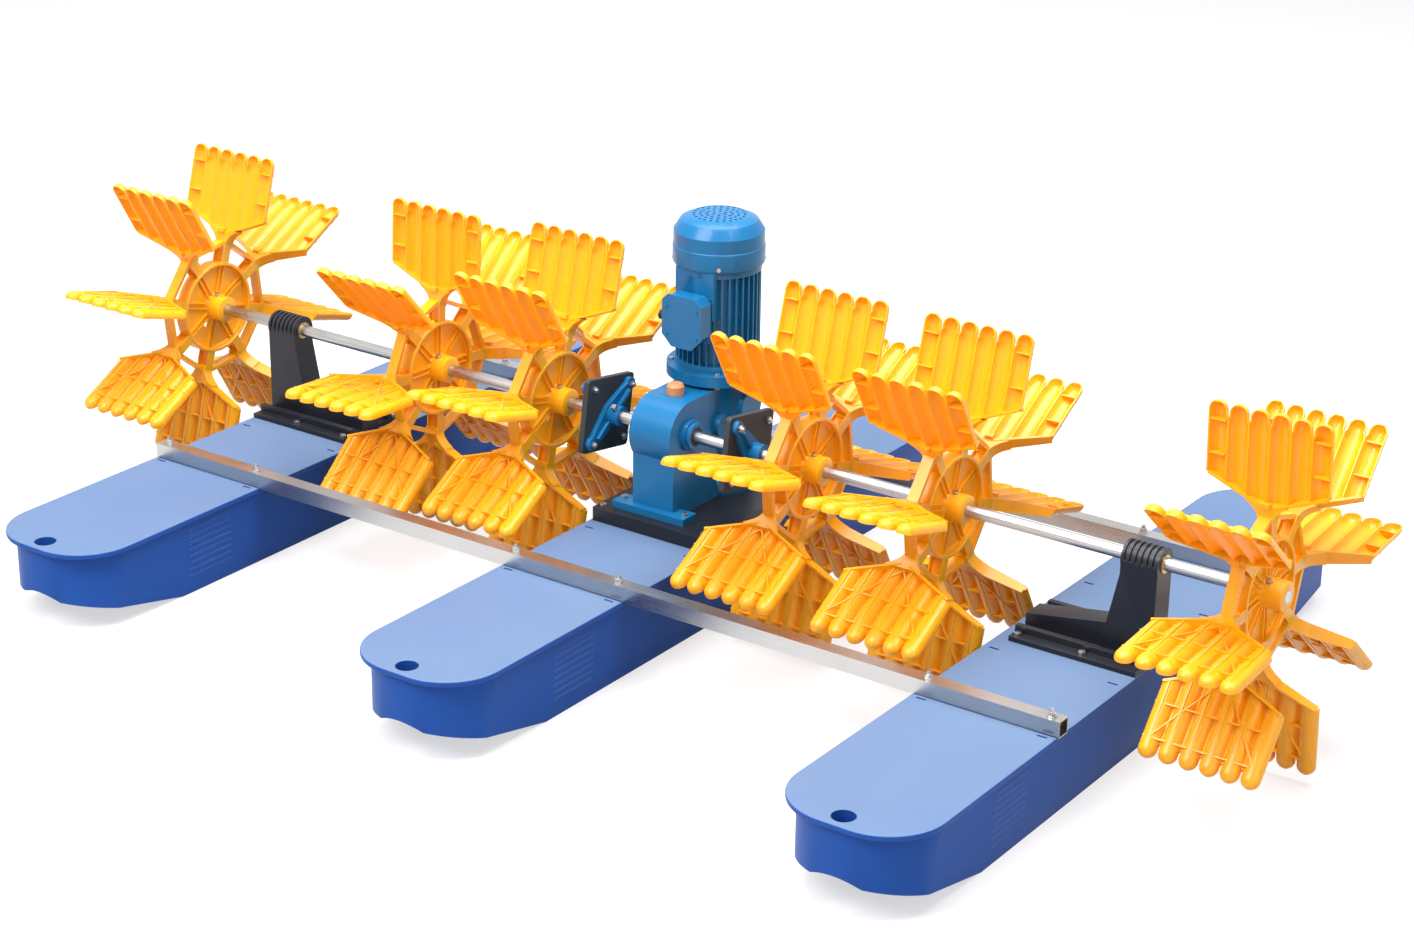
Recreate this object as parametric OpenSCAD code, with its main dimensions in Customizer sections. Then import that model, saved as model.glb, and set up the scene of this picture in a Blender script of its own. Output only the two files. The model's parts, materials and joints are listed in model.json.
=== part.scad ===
// Paddle wheel aerator: three floats, two cross tubes, a geared motor and six paddle wheels on one shaft
// Millimetres. X runs along the paddle shaft, Y along the floats, Z up, Z = 0 under the floats.

/* [Floats] */
// Length of one float along Y
float_length = 1760; // [1700:20:1840]
// Deck width of one float
float_width = 296; // [290:2:302]
// Height of the deck over the bottom
float_height = 175; // [170:1:185]
// Distance between neighbouring float centre lines
float_spacing = 950; // [946:2:960]
// Plan radius of the nose corners
nose_radius = 118; // [100:2:130]
// Wall of the moulded shell
float_wall = 5; // [4:0.5:7]
// How far the deck lip overhangs the hull
lip_overhang = 9; // [6:1:12]
// Depth of the lip
lip_depth = 15; // [10:1:20]
// Draft of the side walls, per side
side_draft = 9; // [4:1:14]
// Rise of the bottom at the nose tip
nose_rise = 62; // [40:2:70]
// Length of the upswept bottom
nose_sweep = 270; // [240:10:300]
// Diameter of the mooring hole
rope_hole_diameter = 44; // [30:1:46]
// Mooring hole centre to nose tip
rope_hole_setback = 36; // [35:1:50]

/* [Cross tubes] */
// Outside size of the square tube
tube_size = 32; // [28:1:36]
// Tube wall
tube_wall = 2; // [1.5:0.5:3]
// Tube length
tube_length = 2200; // [2180:10:2230]
// Front tube centre from the shaft, towards the noses in the foreground
front_tube_y = 368; // [350:2:400]
// Rear tube centre from the shaft
rear_tube_y = 462; // [420:2:480]
// Depth of the tube seat in the deck
tube_seat = 2; // [1:0.5:3]
// Half the distance between the two bolts of one float
tube_bolt_x = 126; // [118:1:128]
// Bolt shank diameter of tube, stand and base bolts
bolt_diameter = 8; // [6:1:10]

/* [Shaft line] */
// Height of the paddle shaft over the deck
shaft_rise = 196; // [192:1:204]
// Paddle shaft diameter
shaft_diameter = 25; // [22:1:28]
// Free outer end of each paddle shaft
shaft_end_x = 1340; // [1330:5:1360]
// Radial clearance of a turning fit
running_clearance = 0.05; // [0.02:0.01:0.08]
// Radial clearance of a fixed fit
fixed_clearance = 0.03; // [0.02:0.01:0.08]

/* [Paddle wheels] */
// Radius at the finger tips
wheel_radius = 353; // [345:1:358]
// Width of a vane along the shaft
vane_width = 237; // [230:1:242]
// Vanes per wheel
vane_count = 8; // [8:1:8]
// Fingers per vane
finger_count = 6; // [6:1:6]
// Wall of the wheel moulding
vane_wall = 4; // [3:0.5:5]
// Gap between neighbouring fingers
finger_gap = 4; // [3:0.5:6]
// Length of the finger notches
notch_depth = 30; // [22:1:34]
// Radius where the straight vane sides begin
side_start_radius = 213; // [205:1:220]
// Radius where the vane neck begins
neck_radius = 168; // [164:1:174]
// Outside radius of the web disc
web_radius = 98; // [94:1:102]
// Hub outside diameter
hub_diameter = 58; // [52:1:64]
// Hub length
hub_length = 48; // [40:1:56]
// Wheel centre positions, outer wheels
outer_wheel_x = 1291; // [1285:1:1296]
// Wheel centre positions, middle wheels
middle_wheel_x = 637; // [630:1:642]
// Wheel centre positions, inner wheels
inner_wheel_x = 315; // [310:1:320]

/* [Gear motor] */
// Gearbox and motor centre along the shaft
gearbox_x = -20; // [-24:1:-16]
// Width of the gearbox arch along the shaft
arch_width = 100; // [98:1:106]
// Radius of the gearbox arch
arch_radius = 72; // [70:1:76]
// Wall of the gearbox casting
casting_wall = 8; // [7:0.5:8]
// Motor axis behind the paddle shaft
motor_y = 165; // [165:1:165]
// Countershaft height over the paddle shaft
countershaft_rise = 22; // [22:1:22]
// Radius of the bevel column
column_radius = 82; // [80:1:84]
// Outside radius of the motor frame over the fins
motor_radius = 88; // [86:1:90]
// Outside radius of the fan cover
fan_cover_radius = 93; // [92:1:96]
// Teeth of the output gear and of the idler
output_teeth = 72; // [72:1:72]
// Teeth of the spur pinion
pinion_teeth = 16; // [16:1:16]
// Teeth of the bevel gear
bevel_gear_teeth = 42; // [42:1:42]
// Teeth of the bevel pinion
bevel_pinion_teeth = 14; // [14:1:14]
// Spur gear module
spur_module = 1.5; // [1.5:0.5:1.5]
// Bevel gear module
bevel_module = 1.75; // [1.75:0.25:1.75]
// Tooth play on each gear
tooth_play = 0.3; // [0.2:0.05:0.4]

/* [Hidden] */
$fn = 64;
e = 1;
deck_z = float_height;
shaft_z = deck_z + shaft_rise;
shaft_r = shaft_diameter / 2;
bolt_r = bolt_diameter / 2;
float_xs = [-float_spacing, 0, float_spacing];
half_l = float_length / 2;
half_w = float_width / 2;
hull_w = half_w - lip_overhang;
hull_l = half_l - lip_overhang;
hull_nose_r = hull_w - 4;
groove_r = 150;
groove_depth = 11;
groove_tilt = 9 + atan2(nose_rise, nose_sweep);
hole_y = half_l - rope_hole_setback;
tube_z = deck_z - tube_seat;
tube_top = tube_z + tube_size;
slot_ys = [-front_tube_y - tube_size / 2 - 12, -135, 233];
stand_holes = [[-108, -76], [-108, 80], [28, -76], [28, 80]];
base_x = 141;
base_front = -100;
base_back = 270;
base_h = 30;
base_holes = [[-126, -84], [126, -84], [-126, 254], [126, 254]];
foot_z = deck_z + base_h;
foot_t = 15;
foot_half = 89;
arch_l = gearbox_x - arch_width / 2;
arch_r = gearbox_x + arch_width / 2;
roof_z = shaft_z + arch_radius;
plug_y = 18;
column_top = deck_z + 285;
flange_t = 14;
neck_flange_t = 10;
flange_bolt_r = 3;
flange_pitch_r = 95;
flange_r = 105;
flange_turn = 35;
frame_z = column_top + flange_t;
frame_top = deck_z + 515;
cover_top = deck_z + 613;
counter_z = shaft_z + countershaft_rise;
spur_w = 18;
spur_x = gearbox_x - 29;
rg = output_teeth * spur_module / 2;
rp = pinion_teeth * spur_module / 2;
span = sqrt(motor_y * motor_y + countershaft_rise * countershaft_rise);
d_out = 2 * rg;
d_cnt = rg + rp;
along = (d_out * d_out - d_cnt * d_cnt + span * span) / (2 * span);
below = sqrt(d_out * d_out - along * along);
idler_y = (along * motor_y + below * countershaft_rise) / span;
idler_z = shaft_z + (along * countershaft_rise - below * motor_y) / span;
psi_oi = atan2(idler_z - shaft_z, idler_y);
psi_ic = atan2(counter_z - idler_z, motor_y - idler_y);
pitch_g = 360 / output_teeth;
pitch_p = 360 / pinion_teeth;
phase_i = psi_oi + 180 - pitch_g * (0.5 - psi_oi / pitch_g);
phase_p = psi_ic + 180 - pitch_p * (0.5 - (psi_ic - phase_i) / pitch_g);
counter_r = 9;
bearing_r = 23.5;
seal_r = 20;
idler_pin_r = 8;
counter_bearing_r = 17.5;
counter_right = gearbox_x + column_radius + 1;
flange_spigot = 40;
frame_bore = 68;
frame_core = 76;
frame_len = frame_top - frame_z;
fin_count = 36;
drive_r = 12.5;
drive_bearing_r = 26;
top_r = 10;
top_bearing_r = 21;
rotor_r = 44;
pinion_bore = 5.5;
stack_len = 120;
box_half = 46;
box_half_h = 53;
box_front = 125;
lid_screw_x = box_half - 9;
lid_screw_z = box_half_h - 24;
cover_wall = 3;
box_z = deck_z + 415 - frame_z;
plate_size = 155;
plate_t = 12;
plate_turn = -9;
left_plate_x = -182;
right_plate_x = 168;
arm_t = 10;
arm_reach = 80;
coupling_r = 21;
coupling_len = 36;
stand_in = 120;
stand_out = 146;
pillar_in = 70;
pillar_y = 29;
pillar_flare = 34;
cap_r = 30;
head_rings = 7;
ring_w = 6;
bush_r = 18;
wheel_xs = [-outer_wheel_x, -middle_wheel_x, -inner_wheel_x, inner_wheel_x, middle_wheel_x, outer_wheel_x];
wheel_turns = [-16, -3, -14.5, -16, -15.3, 4.5];
finger_pitch = (vane_width + finger_gap) / finger_count;
finger_r = (finger_pitch - finger_gap) / 2;

float_blue = [0.18, 0.36, 0.68];
steel = [0.78, 0.8, 0.82];
black = [0.1, 0.1, 0.12];
enamel = [0.08, 0.4, 0.68];
yellow = [0.98, 0.7, 0.12];
rubber = [0.2, 0.22, 0.23];
bronze = [0.75, 0.6, 0.35];

// Helpers

module along_x(x0, x1) {
  translate([x0, 0, 0]) rotate([90, 0, 90]) linear_extrude(x1 - x0) children();
}

module rod_x(x0, x1, r) {
  translate([x0, 0, 0]) rotate([0, 90, 0]) cylinder(h = x1 - x0, r = r);
}

module ring_x(x0, x1, ro, ri) {
  difference() {
    rod_x(x0, x1, ro);
    rod_x(x0 - e, x1 + e, ri);
  }
}

module hex_bolt(shank, grip, head) {
  cylinder(h = head, r = shank * 1.85, $fn = 6);
  translate([0, 0, -grip]) cylinder(h = grip + e, r = shank - fixed_clearance);
}

module at_shaft() {
  translate([0, 0, shaft_z]) children();
}

function inv_deg(a) = tan(a) * 180 / PI - a;

function flank(n, m, r) =
  90 / n - (tooth_play / 2) / (m * n / 2) * 90 / PI + inv_deg(20)
  - inv_deg(acos(min(1, (m * n / 2 * cos(20)) / r)));

function tooth_pts(n, m, k) =
  let (
    p = m * n / 2,
    rr = p - 1.15 * m,
    rb = max(rr, p * cos(20)),
    rt = p + 0.8 * m,
    c = k * 360 / n,
    rs = [rr, rb, rb + (rt - rb) * 0.3, rb + (rt - rb) * 0.65, rt]
  )
  concat(
    [for (r = rs) let (a = c - flank(n, m, max(r, rb))) [r * cos(a), r * sin(a)]],
    [for (i = [4 : -1 : 0]) let (r = rs[i], a = c + flank(n, m, max(r, rb))) [r * cos(a), r * sin(a)]]
  );

module spur_2d(n, m) {
  polygon([for (k = [0 : n - 1]) each tooth_pts(n, m, k)]);
}

// Floats

module plan_2d(w, l, r) {
  square([2 * w, 2 * (l - r)], center = true);
  square([2 * (w - r), 2 * l], center = true);
  for (x = [-1, 1], y = [-1, 1]) {
    translate([x * (w - r), y * (l - r)]) circle(r);
  }
}

module hull_shape(t) {
  w = hull_w - t;
  l = hull_l - t;
  r = hull_nose_r - t;
  top = deck_z - lip_depth + (t > 0 ? lip_depth - t : e);
  intersection() {
    translate([0, 0, t]) linear_extrude(top - t) plan_2d(w, l, r);
    along_x(-half_w, half_w) polygon([
      [-hull_l + nose_sweep, t], [hull_l - nose_sweep, t], [hull_l + e, nose_rise + t], [hull_l + e, deck_z],
      [-hull_l - e, deck_z], [-hull_l - e, nose_rise + t]]);
    translate([0, half_l, 0]) rotate([90, 0, 0]) linear_extrude(2 * half_l) polygon([
      [-w + side_draft, 0], [w - side_draft, 0], [w, deck_z], [-w, deck_z]]);
  }
}

module nose_groove(t) {
  for (s = [-1, 1]) {
    translate([0, s * hull_l, nose_rise + groove_depth - groove_r / cos(groove_tilt)])
      rotate([s * (90 + groove_tilt), 0, 0]) translate([0, 0, -120]) cylinder(h = 300, r = groove_r + t);
  }
}

module float_bosses(holes, r) {
  for (p = holes) {
    translate([p[0], p[1], deck_z - 38]) cylinder(h = 38 - tube_seat - 1, r = r);
  }
}

module float_body(holes) {
  difference() {
    union() {
      difference() {
        hull_shape(0);
        nose_groove(0);
      }
      translate([0, 0, deck_z - lip_depth]) linear_extrude(lip_depth) plan_2d(half_w, half_l, nose_radius);
    }
    difference() {
      hull_shape(float_wall);
      nose_groove(float_wall);
      for (s = [-1, 1]) {
        translate([0, s * hole_y, 0]) cylinder(h = deck_z, r = rope_hole_diameter / 2 + float_wall);
      }
      float_bosses(holes, bolt_r + 6);
    }
    for (s = [-1, 1]) {
      translate([0, s * hole_y, -e]) cylinder(h = deck_z + 2 * e, r = rope_hole_diameter / 2);
    }
    for (y = [-front_tube_y, rear_tube_y]) {
      translate([-half_w - e, y - tube_size / 2 - 1, tube_z]) cube([float_width + 2 * e, tube_size + 2, 10]);
    }
    for (x = [-1, 1], y = slot_ys) {
      translate([x * 124 - 10, y - 3, deck_z - 3]) cube([20, 6, 10]);
    }
    for (p = holes) {
      translate([p[0], p[1], deck_z - 32]) cylinder(h = 40, r = bolt_r);
    }
  }
}

tube_holes = [for (x = [-1, 1], y = [-front_tube_y, rear_tube_y]) [x * tube_bolt_x, y]];

module left_float() {
  color(float_blue) translate([-float_spacing, 0, 0])
    float_body(concat(tube_holes, [for (p = stand_holes) [-p[0], p[1]]]));
}

module centre_float() {
  color(float_blue) float_body(concat(tube_holes, base_holes));
}

module right_float() {
  color(float_blue) translate([float_spacing, 0, 0]) float_body(concat(tube_holes, stand_holes));
}

// Cross tubes

module cross_tube(y) {
  color(steel) difference() {
    translate([-tube_length / 2, y - tube_size / 2, tube_z]) cube([tube_length, tube_size, tube_size]);
    translate([-tube_length / 2 - e, y - tube_size / 2 + tube_wall, tube_z + tube_wall])
      cube([tube_length + 2 * e, tube_size - 2 * tube_wall, tube_size - 2 * tube_wall]);
    for (fx = float_xs, x = [-1, 1]) {
      translate([fx + x * tube_bolt_x, y, tube_z - e]) cylinder(h = tube_size + 2 * e, r = bolt_r);
    }
  }
}

module tube_bolts() {
  color(steel) for (fx = float_xs, x = [-1, 1], y = [-front_tube_y, rear_tube_y]) {
    translate([fx + x * tube_bolt_x, y, tube_top]) {
      cylinder(h = 1.6, r = bolt_r * 2.4);
      translate([0, 0, 1.6]) cylinder(h = 7, r = bolt_r * 1.85, $fn = 6);
      translate([0, 0, -tube_size - 26]) cylinder(h = tube_size + 26 + 15, r = bolt_r - fixed_clearance);
    }
  }
}

module front_cross_tube() {
  cross_tube(-front_tube_y);
}

module rear_cross_tube() {
  cross_tube(rear_tube_y);
}

// Bearing stands: drawn for the right float, mirrored for the left

module on_float(s) {
  translate([s * float_spacing, 0, deck_z]) mirror([s < 0 ? 1 : 0, 0, 0]) children();
}

module stand() {
  color(black) difference() {
    union() {
      translate([-stand_in, -90, 0]) cube([stand_in + stand_out, 184, 10]);
      translate([-stand_in, -66, 0]) cube([stand_in + stand_out, 12, 24]);
      translate([-stand_in, 58, 0]) cube([stand_in + stand_out, 12, 28]);
      translate([0, pillar_y - 2, 0]) rotate([90, 0, 0]) linear_extrude(2 * pillar_y - 4) polygon([
        [-stand_in, 0], [pillar_in + e, 0], [pillar_in + e, 64], [pillar_in - 20, 62], [-stand_in, 34]]);
      translate([0, pillar_y, 0]) rotate([90, 0, 0]) linear_extrude(2 * pillar_y) polygon([
        [pillar_in - pillar_flare, 0], [stand_out, 0], [stand_out, shaft_rise], [pillar_in, shaft_rise],
        [pillar_in, shaft_rise - cap_r]]);
      translate([0, 0, shaft_rise]) rod_x(pillar_in, stand_out, cap_r - 3);
      for (i = [0 : head_rings - 1]) {
        x = pillar_in + i * (stand_out - pillar_in - ring_w) / (head_rings - 1);
        translate([0, 0, shaft_rise]) rod_x(x, x + ring_w, cap_r + 1);
      }
    }
    translate([0, 0, shaft_rise]) rod_x(pillar_in - e, stand_out + e, bush_r);
    for (p = stand_holes) {
      translate([p[0], p[1], -e]) cylinder(h = 12, r = bolt_r);
    }
  }
}

module bush() {
  color(bronze) translate([0, 0, shaft_rise]) {
    ring_x(pillar_in - 2, stand_out + 2, bush_r - fixed_clearance, shaft_r + running_clearance);
  }
}

module stand_bolts() {
  color(steel) for (s = [-1, 1], p = stand_holes) {
    on_float(s) translate([p[0], p[1], 10]) hex_bolt(bolt_r, 36, 6);
  }
}

module left_bearing_stand() {
  on_float(-1) stand();
}

module right_bearing_stand() {
  on_float(1) stand();
}

module left_bearing_bush() {
  on_float(-1) bush();
}

module right_bearing_bush() {
  on_float(1) bush();
}

// Motor base

foot_holes = [for (x = [-1, 1], y = [-52, 226]) [gearbox_x + x * 76, y]];

module motor_base() {
  color(black) difference() {
    translate([-base_x, base_front, deck_z]) cube([2 * base_x, base_back - base_front, base_h]);
    for (p = base_holes) {
      translate([p[0], p[1], deck_z - e]) cylinder(h = base_h + 2 * e, r = bolt_r);
    }
    for (p = foot_holes) {
      translate([p[0], p[1], deck_z + 6]) cylinder(h = base_h, r = bolt_r);
    }
  }
}

module motor_base_bolts() {
  color(steel) for (p = base_holes) {
    translate([p[0], p[1], deck_z + base_h]) hex_bolt(bolt_r, base_h + 26, 6);
  }
}

// Gearbox casting

module arch_2d(t) {
  r = arch_radius - t;
  z0 = t > 0 ? foot_z + foot_t + t : foot_z;
  translate([0, shaft_z]) circle(r);
  translate([0, shaft_z]) square([motor_y, r]);
  translate([-arch_radius + 14 + t, z0]) square([motor_y + arch_radius - 14 - t, shaft_z - z0]);
}

module column(r, z0, z1) {
  translate([gearbox_x, motor_y, z0]) cylinder(h = z1 - z0, r = r);
}

module in_circle(n, r, turn) {
  for (k = [0 : n - 1]) {
    rotate([0, 0, turn + k * 360 / n]) translate([r, 0, 0]) children();
  }
}

// Left edge of the casting, closed by the cover plate
face_x = arch_l + casting_wall;
cover_low = foot_z + foot_t;
cover_holes = concat(
  [for (a = [95, 135, 175]) [(arch_radius - 4) * cos(a), shaft_z + (arch_radius - 4) * sin(a)]],
  [[62, roof_z - 4], [-arch_radius + 18, shaft_z - 96], [-20, cover_low + 4], [60, cover_low + 4],
   [140, cover_low + 4], [motor_y + 65, shaft_z - 70], [motor_y + 65, shaft_z + 40]]);

module cover_2d() {
  intersection() {
    union() {
      arch_2d(0);
      translate([motor_y - 70, cover_low]) square([140, column_top - neck_flange_t - cover_low]);
    }
    translate([-200, cover_low]) square([600, column_top - neck_flange_t - cover_low]);
  }
}

module gearbox_housing() {
  w = casting_wall;
  color(enamel) difference() {
    union() {
      along_x(arch_l, arch_r) arch_2d(0);
      column(column_radius, foot_z, column_top);
      column(flange_r, column_top - neck_flange_t, column_top);
      translate([gearbox_x, plug_y, roof_z - 6]) cylinder(h = 6, r = 20);
      for (y = [-76, 204]) {
        translate([gearbox_x - foot_half, y, foot_z]) cube([2 * foot_half, 45, foot_t]);
      }
      at_shaft() rod_x(arch_r - e, arch_r + 8, 33);
      at_shaft() rod_x(arch_r - e, arch_r + 16, 27);
      translate([0, idler_y, idler_z]) rod_x(arch_r - e, arch_r + 12, 26);
      translate([0, motor_y, counter_z]) rod_x(gearbox_x, gearbox_x + column_radius + 6, 34);
    }
    along_x(arch_l - 200, arch_r - w) intersection() {
      arch_2d(w);
      translate([-200, 0]) square([200 + motor_y, 2000]);
    }
    column(column_radius - w, cover_low + w, column_top - neck_flange_t);
    column(flange_spigot, column_top - neck_flange_t - e, column_top + e);
    translate([arch_l - 300, -300, cover_low]) cube([300 + w, 800, column_top - neck_flange_t - cover_low]);
    at_shaft() rod_x(arch_r - w - e, arch_r + 4, bearing_r);
    at_shaft() rod_x(arch_r, arch_r + 20, seal_r);
    translate([0, idler_y, idler_z]) rod_x(arch_r - w - e, arch_r + 4, idler_pin_r);
    translate([0, motor_y, counter_z]) rod_x(gearbox_x, counter_right + 1, counter_bearing_r);
    translate([gearbox_x, plug_y, roof_z - w - 4]) cylinder(h = w + 8, r = 9);
    for (p = foot_holes) {
      translate([p[0], p[1], foot_z - e]) cylinder(h = foot_t + 2 * e, r = bolt_r);
    }
    for (p = cover_holes) {
      translate([0, p[0], p[1]]) rod_x(face_x - e, face_x + 12, 2);
    }
    translate([gearbox_x, motor_y, column_top - 30]) in_circle(4, flange_pitch_r, flange_turn)
      cylinder(h = 40, r = flange_bolt_r);
  }
}

module gearbox_cover() {
  w = casting_wall;
  color(enamel) difference() {
    union() {
      along_x(arch_l, face_x) cover_2d();
      at_shaft() rod_x(arch_l - 8, arch_l + e, 33);
      at_shaft() rod_x(arch_l - 16, arch_l + e, 27);
      translate([0, motor_y, counter_z]) rod_x(arch_l - 10, arch_l + e, 26);
      translate([0, idler_y, idler_z]) rod_x(arch_l - 10, arch_l + e, 20);
    }
    at_shaft() rod_x(arch_l - 4, face_x + e, bearing_r);
    at_shaft() rod_x(arch_l - 20, arch_l, seal_r);
    translate([0, motor_y, counter_z]) rod_x(arch_l - 4, face_x + e, counter_bearing_r);
    translate([0, idler_y, idler_z]) rod_x(arch_l - 4, face_x + e, idler_pin_r);
    for (p = cover_holes) {
      translate([0, p[0], p[1]]) rod_x(arch_l - e, face_x + e, 2);
    }
  }
}

module gearbox_screws() {
  color(steel) for (p = cover_holes) {
    translate([0, p[0], p[1]]) {
      rod_x(arch_l - 3, arch_l, 4);
      rod_x(arch_l - 1, face_x + 10, 2 - fixed_clearance);
    }
  }
  color(steel) for (p = foot_holes) {
    translate([p[0], p[1], foot_z + foot_t]) hex_bolt(bolt_r, foot_t + 20, 6);
  }
}

module oil_plug() {
  color([0.9, 0.6, 0.4]) translate([gearbox_x, plug_y, roof_z]) {
    translate([0, 0, -casting_wall]) cylinder(h = casting_wall + e, r = 9 - fixed_clearance);
    cylinder(h = 18, r = 18);
    translate([0, 0, 18]) cylinder(h = 5, r1 = 18, r2 = 14);
  }
}

module output_bearings() {
  color(steel) at_shaft() {
    ring_x(arch_l - 3.5, face_x - 0.5, bearing_r - fixed_clearance, shaft_r + running_clearance);
    ring_x(
      arch_r - casting_wall + 0.5, arch_r + 3.5, bearing_r - fixed_clearance,
      shaft_r + running_clearance);
  }
}

module output_seals() {
  color(rubber) at_shaft() {
    ring_x(arch_l - 15, arch_l - 6, seal_r - fixed_clearance, shaft_r + running_clearance);
    ring_x(arch_r + 6, arch_r + 15, seal_r - fixed_clearance, shaft_r + running_clearance);
  }
}

module countershaft_bearings() {
  color(steel) translate([0, motor_y, counter_z]) {
    ring_x(arch_l - 3.5, face_x - 0.5, counter_bearing_r - fixed_clearance, counter_r + running_clearance);
    ring_x(
      counter_right - 11, counter_right, counter_bearing_r - fixed_clearance,
      counter_r + running_clearance);
  }
}

module idler_pin() {
  color(steel) translate([0, idler_y, idler_z])
    rod_x(arch_l - 3.5, arch_r + 3.5, idler_pin_r - fixed_clearance);
}

// Motor

module at_motor(z) {
  translate([gearbox_x, motor_y, z]) children();
}

module motor_flange() {
  color(enamel) at_motor(column_top) difference() {
    union() {
      cylinder(h = flange_t, r = flange_r);
      translate([0, 0, -9]) cylinder(h = 10, r = flange_spigot - fixed_clearance);
      cylinder(h = flange_t + 8, r = frame_bore - fixed_clearance);
    }
    translate([0, 0, -20]) cylinder(h = 60, r = drive_r + 1.5);
    translate([0, 0, 4]) cylinder(h = 60, r = drive_bearing_r);
    in_circle(4, flange_pitch_r, flange_turn) translate([0, 0, -20]) cylinder(h = 60, r = flange_bolt_r);
  }
}

module motor_flange_bolts() {
  color(steel) at_motor(column_top) {
    in_circle(4, flange_pitch_r, flange_turn) {
      translate([0, 0, flange_t]) hex_bolt(flange_bolt_r, flange_t + neck_flange_t + 6, 5);
      translate([0, 0, -neck_flange_t - 5]) cylinder(h = 5, r = 6, $fn = 6);
    }
  }
}

module motor_frame() {
  color(enamel) at_motor(frame_z) difference() {
    union() {
      cylinder(h = frame_len, r = frame_core);
      cylinder(h = 14, r = motor_radius);
      translate([0, 0, frame_len - 14]) cylinder(h = 14, r = motor_radius);
      for (k = [0 : fin_count - 1]) {
        rotate([0, 0, k * 360 / fin_count]) translate([frame_core - 2, -1.5, 0])
          cube([motor_radius - frame_core + 1, 3, frame_len]);
      }
      translate([-box_half + 6, -motor_radius - 4, box_z - box_half_h + 6])
        cube([2 * box_half - 12, 24, 2 * box_half_h - 12]);
      translate([-box_half, -motor_radius + 2, box_z]) cube([2 * box_half, 24, frame_len - box_z - 1]);
    }
    translate([0, 0, -e]) cylinder(h = frame_len + 2 * e, r = frame_bore);
    translate([0, -60, box_z]) rotate([90, 0, 0]) cylinder(h = 60, r = 12);
  }
}

module stator_core() {
  color(steel) at_motor(frame_z + 40) difference() {
    cylinder(h = stack_len, r = frame_bore - fixed_clearance);
    translate([0, 0, -e]) cylinder(h = stack_len + 2 * e, r = rotor_r + 0.5);
  }
}

module motor_end_shield() {
  color(enamel) at_motor(frame_top - 12) difference() {
    union() {
      cylinder(h = 12, r = frame_bore - fixed_clearance);
      translate([0, 0, 12]) cylinder(h = 14, r = fan_cover_radius - cover_wall - fixed_clearance);
    }
    translate([0, 0, -e]) cylinder(h = 12, r = top_bearing_r);
    translate([0, 0, -e]) cylinder(h = 30, r = top_r + 1.5);
    translate([0, 0, 12]) fan_screw_holes();
  }
}

module motor_bearings() {
  color(steel) {
    at_motor(column_top + 4) difference() {
      cylinder(h = 15, r = drive_bearing_r - fixed_clearance);
      translate([0, 0, -e]) cylinder(h = 20, r = drive_r + running_clearance);
    }
    at_motor(frame_top - 12) difference() {
      cylinder(h = 10, r = top_bearing_r - fixed_clearance);
      translate([0, 0, -e]) cylinder(h = 20, r = top_r + running_clearance);
    }
  }
}

function cover_pts(t, h) = [
  [fan_cover_radius - t, 0], [fan_cover_radius - t, h * 0.68], [fan_cover_radius - 14 - t, h * 0.9],
  [60 - t / 2, h * 0.985], [0, h]];

module fan_cover() {
  h = cover_top - frame_top;
  color(enamel) at_motor(frame_top) difference() {
    rotate_extrude() polygon(concat([[0, 0]], cover_pts(0, h)));
    translate([0, 0, -e]) rotate_extrude() polygon(concat([[0, 0]], cover_pts(cover_wall, h - 2)));
    for (k = [1 : 4]) {
      in_circle(6 * k, 13 * k, 0) translate([0, 0, h / 2]) cylinder(h = h, r = 3.6);
    }
    fan_screw_holes();
  }
}

module fan_screw_holes() {
  for (a = [35 : 90 : 305]) {
    rotate([0, 0, a]) translate([0, 0, 7]) rod_x(fan_cover_radius - 14, fan_cover_radius + 10, 2);
  }
}

module motor_screws() {
  color(steel) at_motor(frame_top + 7) {
    for (a = [35 : 90 : 305]) {
      rotate([0, 0, a]) {
        rod_x(fan_cover_radius, fan_cover_radius + 3, 4);
        rod_x(fan_cover_radius - 12, fan_cover_radius + 1, 2 - fixed_clearance);
      }
    }
  }
  color(steel) at_motor(frame_z + box_z) {
    for (x = [-1, 1], z = [-1, 1]) {
      translate([x * lid_screw_x, -box_front - 5, z * lid_screw_z]) rotate([90, 0, 0]) {
        cylinder(h = 3, r = 3.5);
        translate([0, 0, -14]) cylinder(h = 15, r = 2 - fixed_clearance);
      }
    }
  }
}

module box_2d(t) {
  w = box_half - t;
  h = box_half_h - t;
  c = 14;
  b = 24;
  polygon([
    [-w + b, -h], [w - b, -h], [w, -h + b], [w, h - c], [w - c, h], [-w + c, h], [-w, h - c], [-w, -h + b]]);
}

module lid_holes(r) {
  for (x = [-1, 1], z = [-1, 1]) {
    translate([x * lid_screw_x, -box_front + 14, z * lid_screw_z]) rotate([90, 0, 0]) cylinder(h = 40, r = r);
  }
}

module terminal_box() {
  color(enamel) at_motor(frame_z + box_z) difference() {
    translate([0, -motor_radius - 4, 0]) rotate([90, 0, 0])
      linear_extrude(box_front - motor_radius - 4) box_2d(0);
    difference() {
      translate([0, -motor_radius - 9, 0]) rotate([90, 0, 0]) linear_extrude(box_front) box_2d(4);
      for (x = [-1, 1], z = [-1, 1]) {
        translate([x * lid_screw_x, -motor_radius, z * lid_screw_z]) rotate([90, 0, 0])
          cylinder(h = 100, r = 6);
      }
    }
    lid_holes(2);
    translate([0, -60, 0]) rotate([90, 0, 0]) cylinder(h = 60, r = 12);
    translate([-box_half - e, -box_front + 16, 0]) rotate([0, 90, 0]) cylinder(h = 10, r = 8);
  }
}

module terminal_box_lid() {
  color(enamel) at_motor(frame_z + box_z) difference() {
    translate([0, -box_front, 0]) rotate([90, 0, 0]) linear_extrude(5) box_2d(-2);
    lid_holes(2);
  }
}

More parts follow.
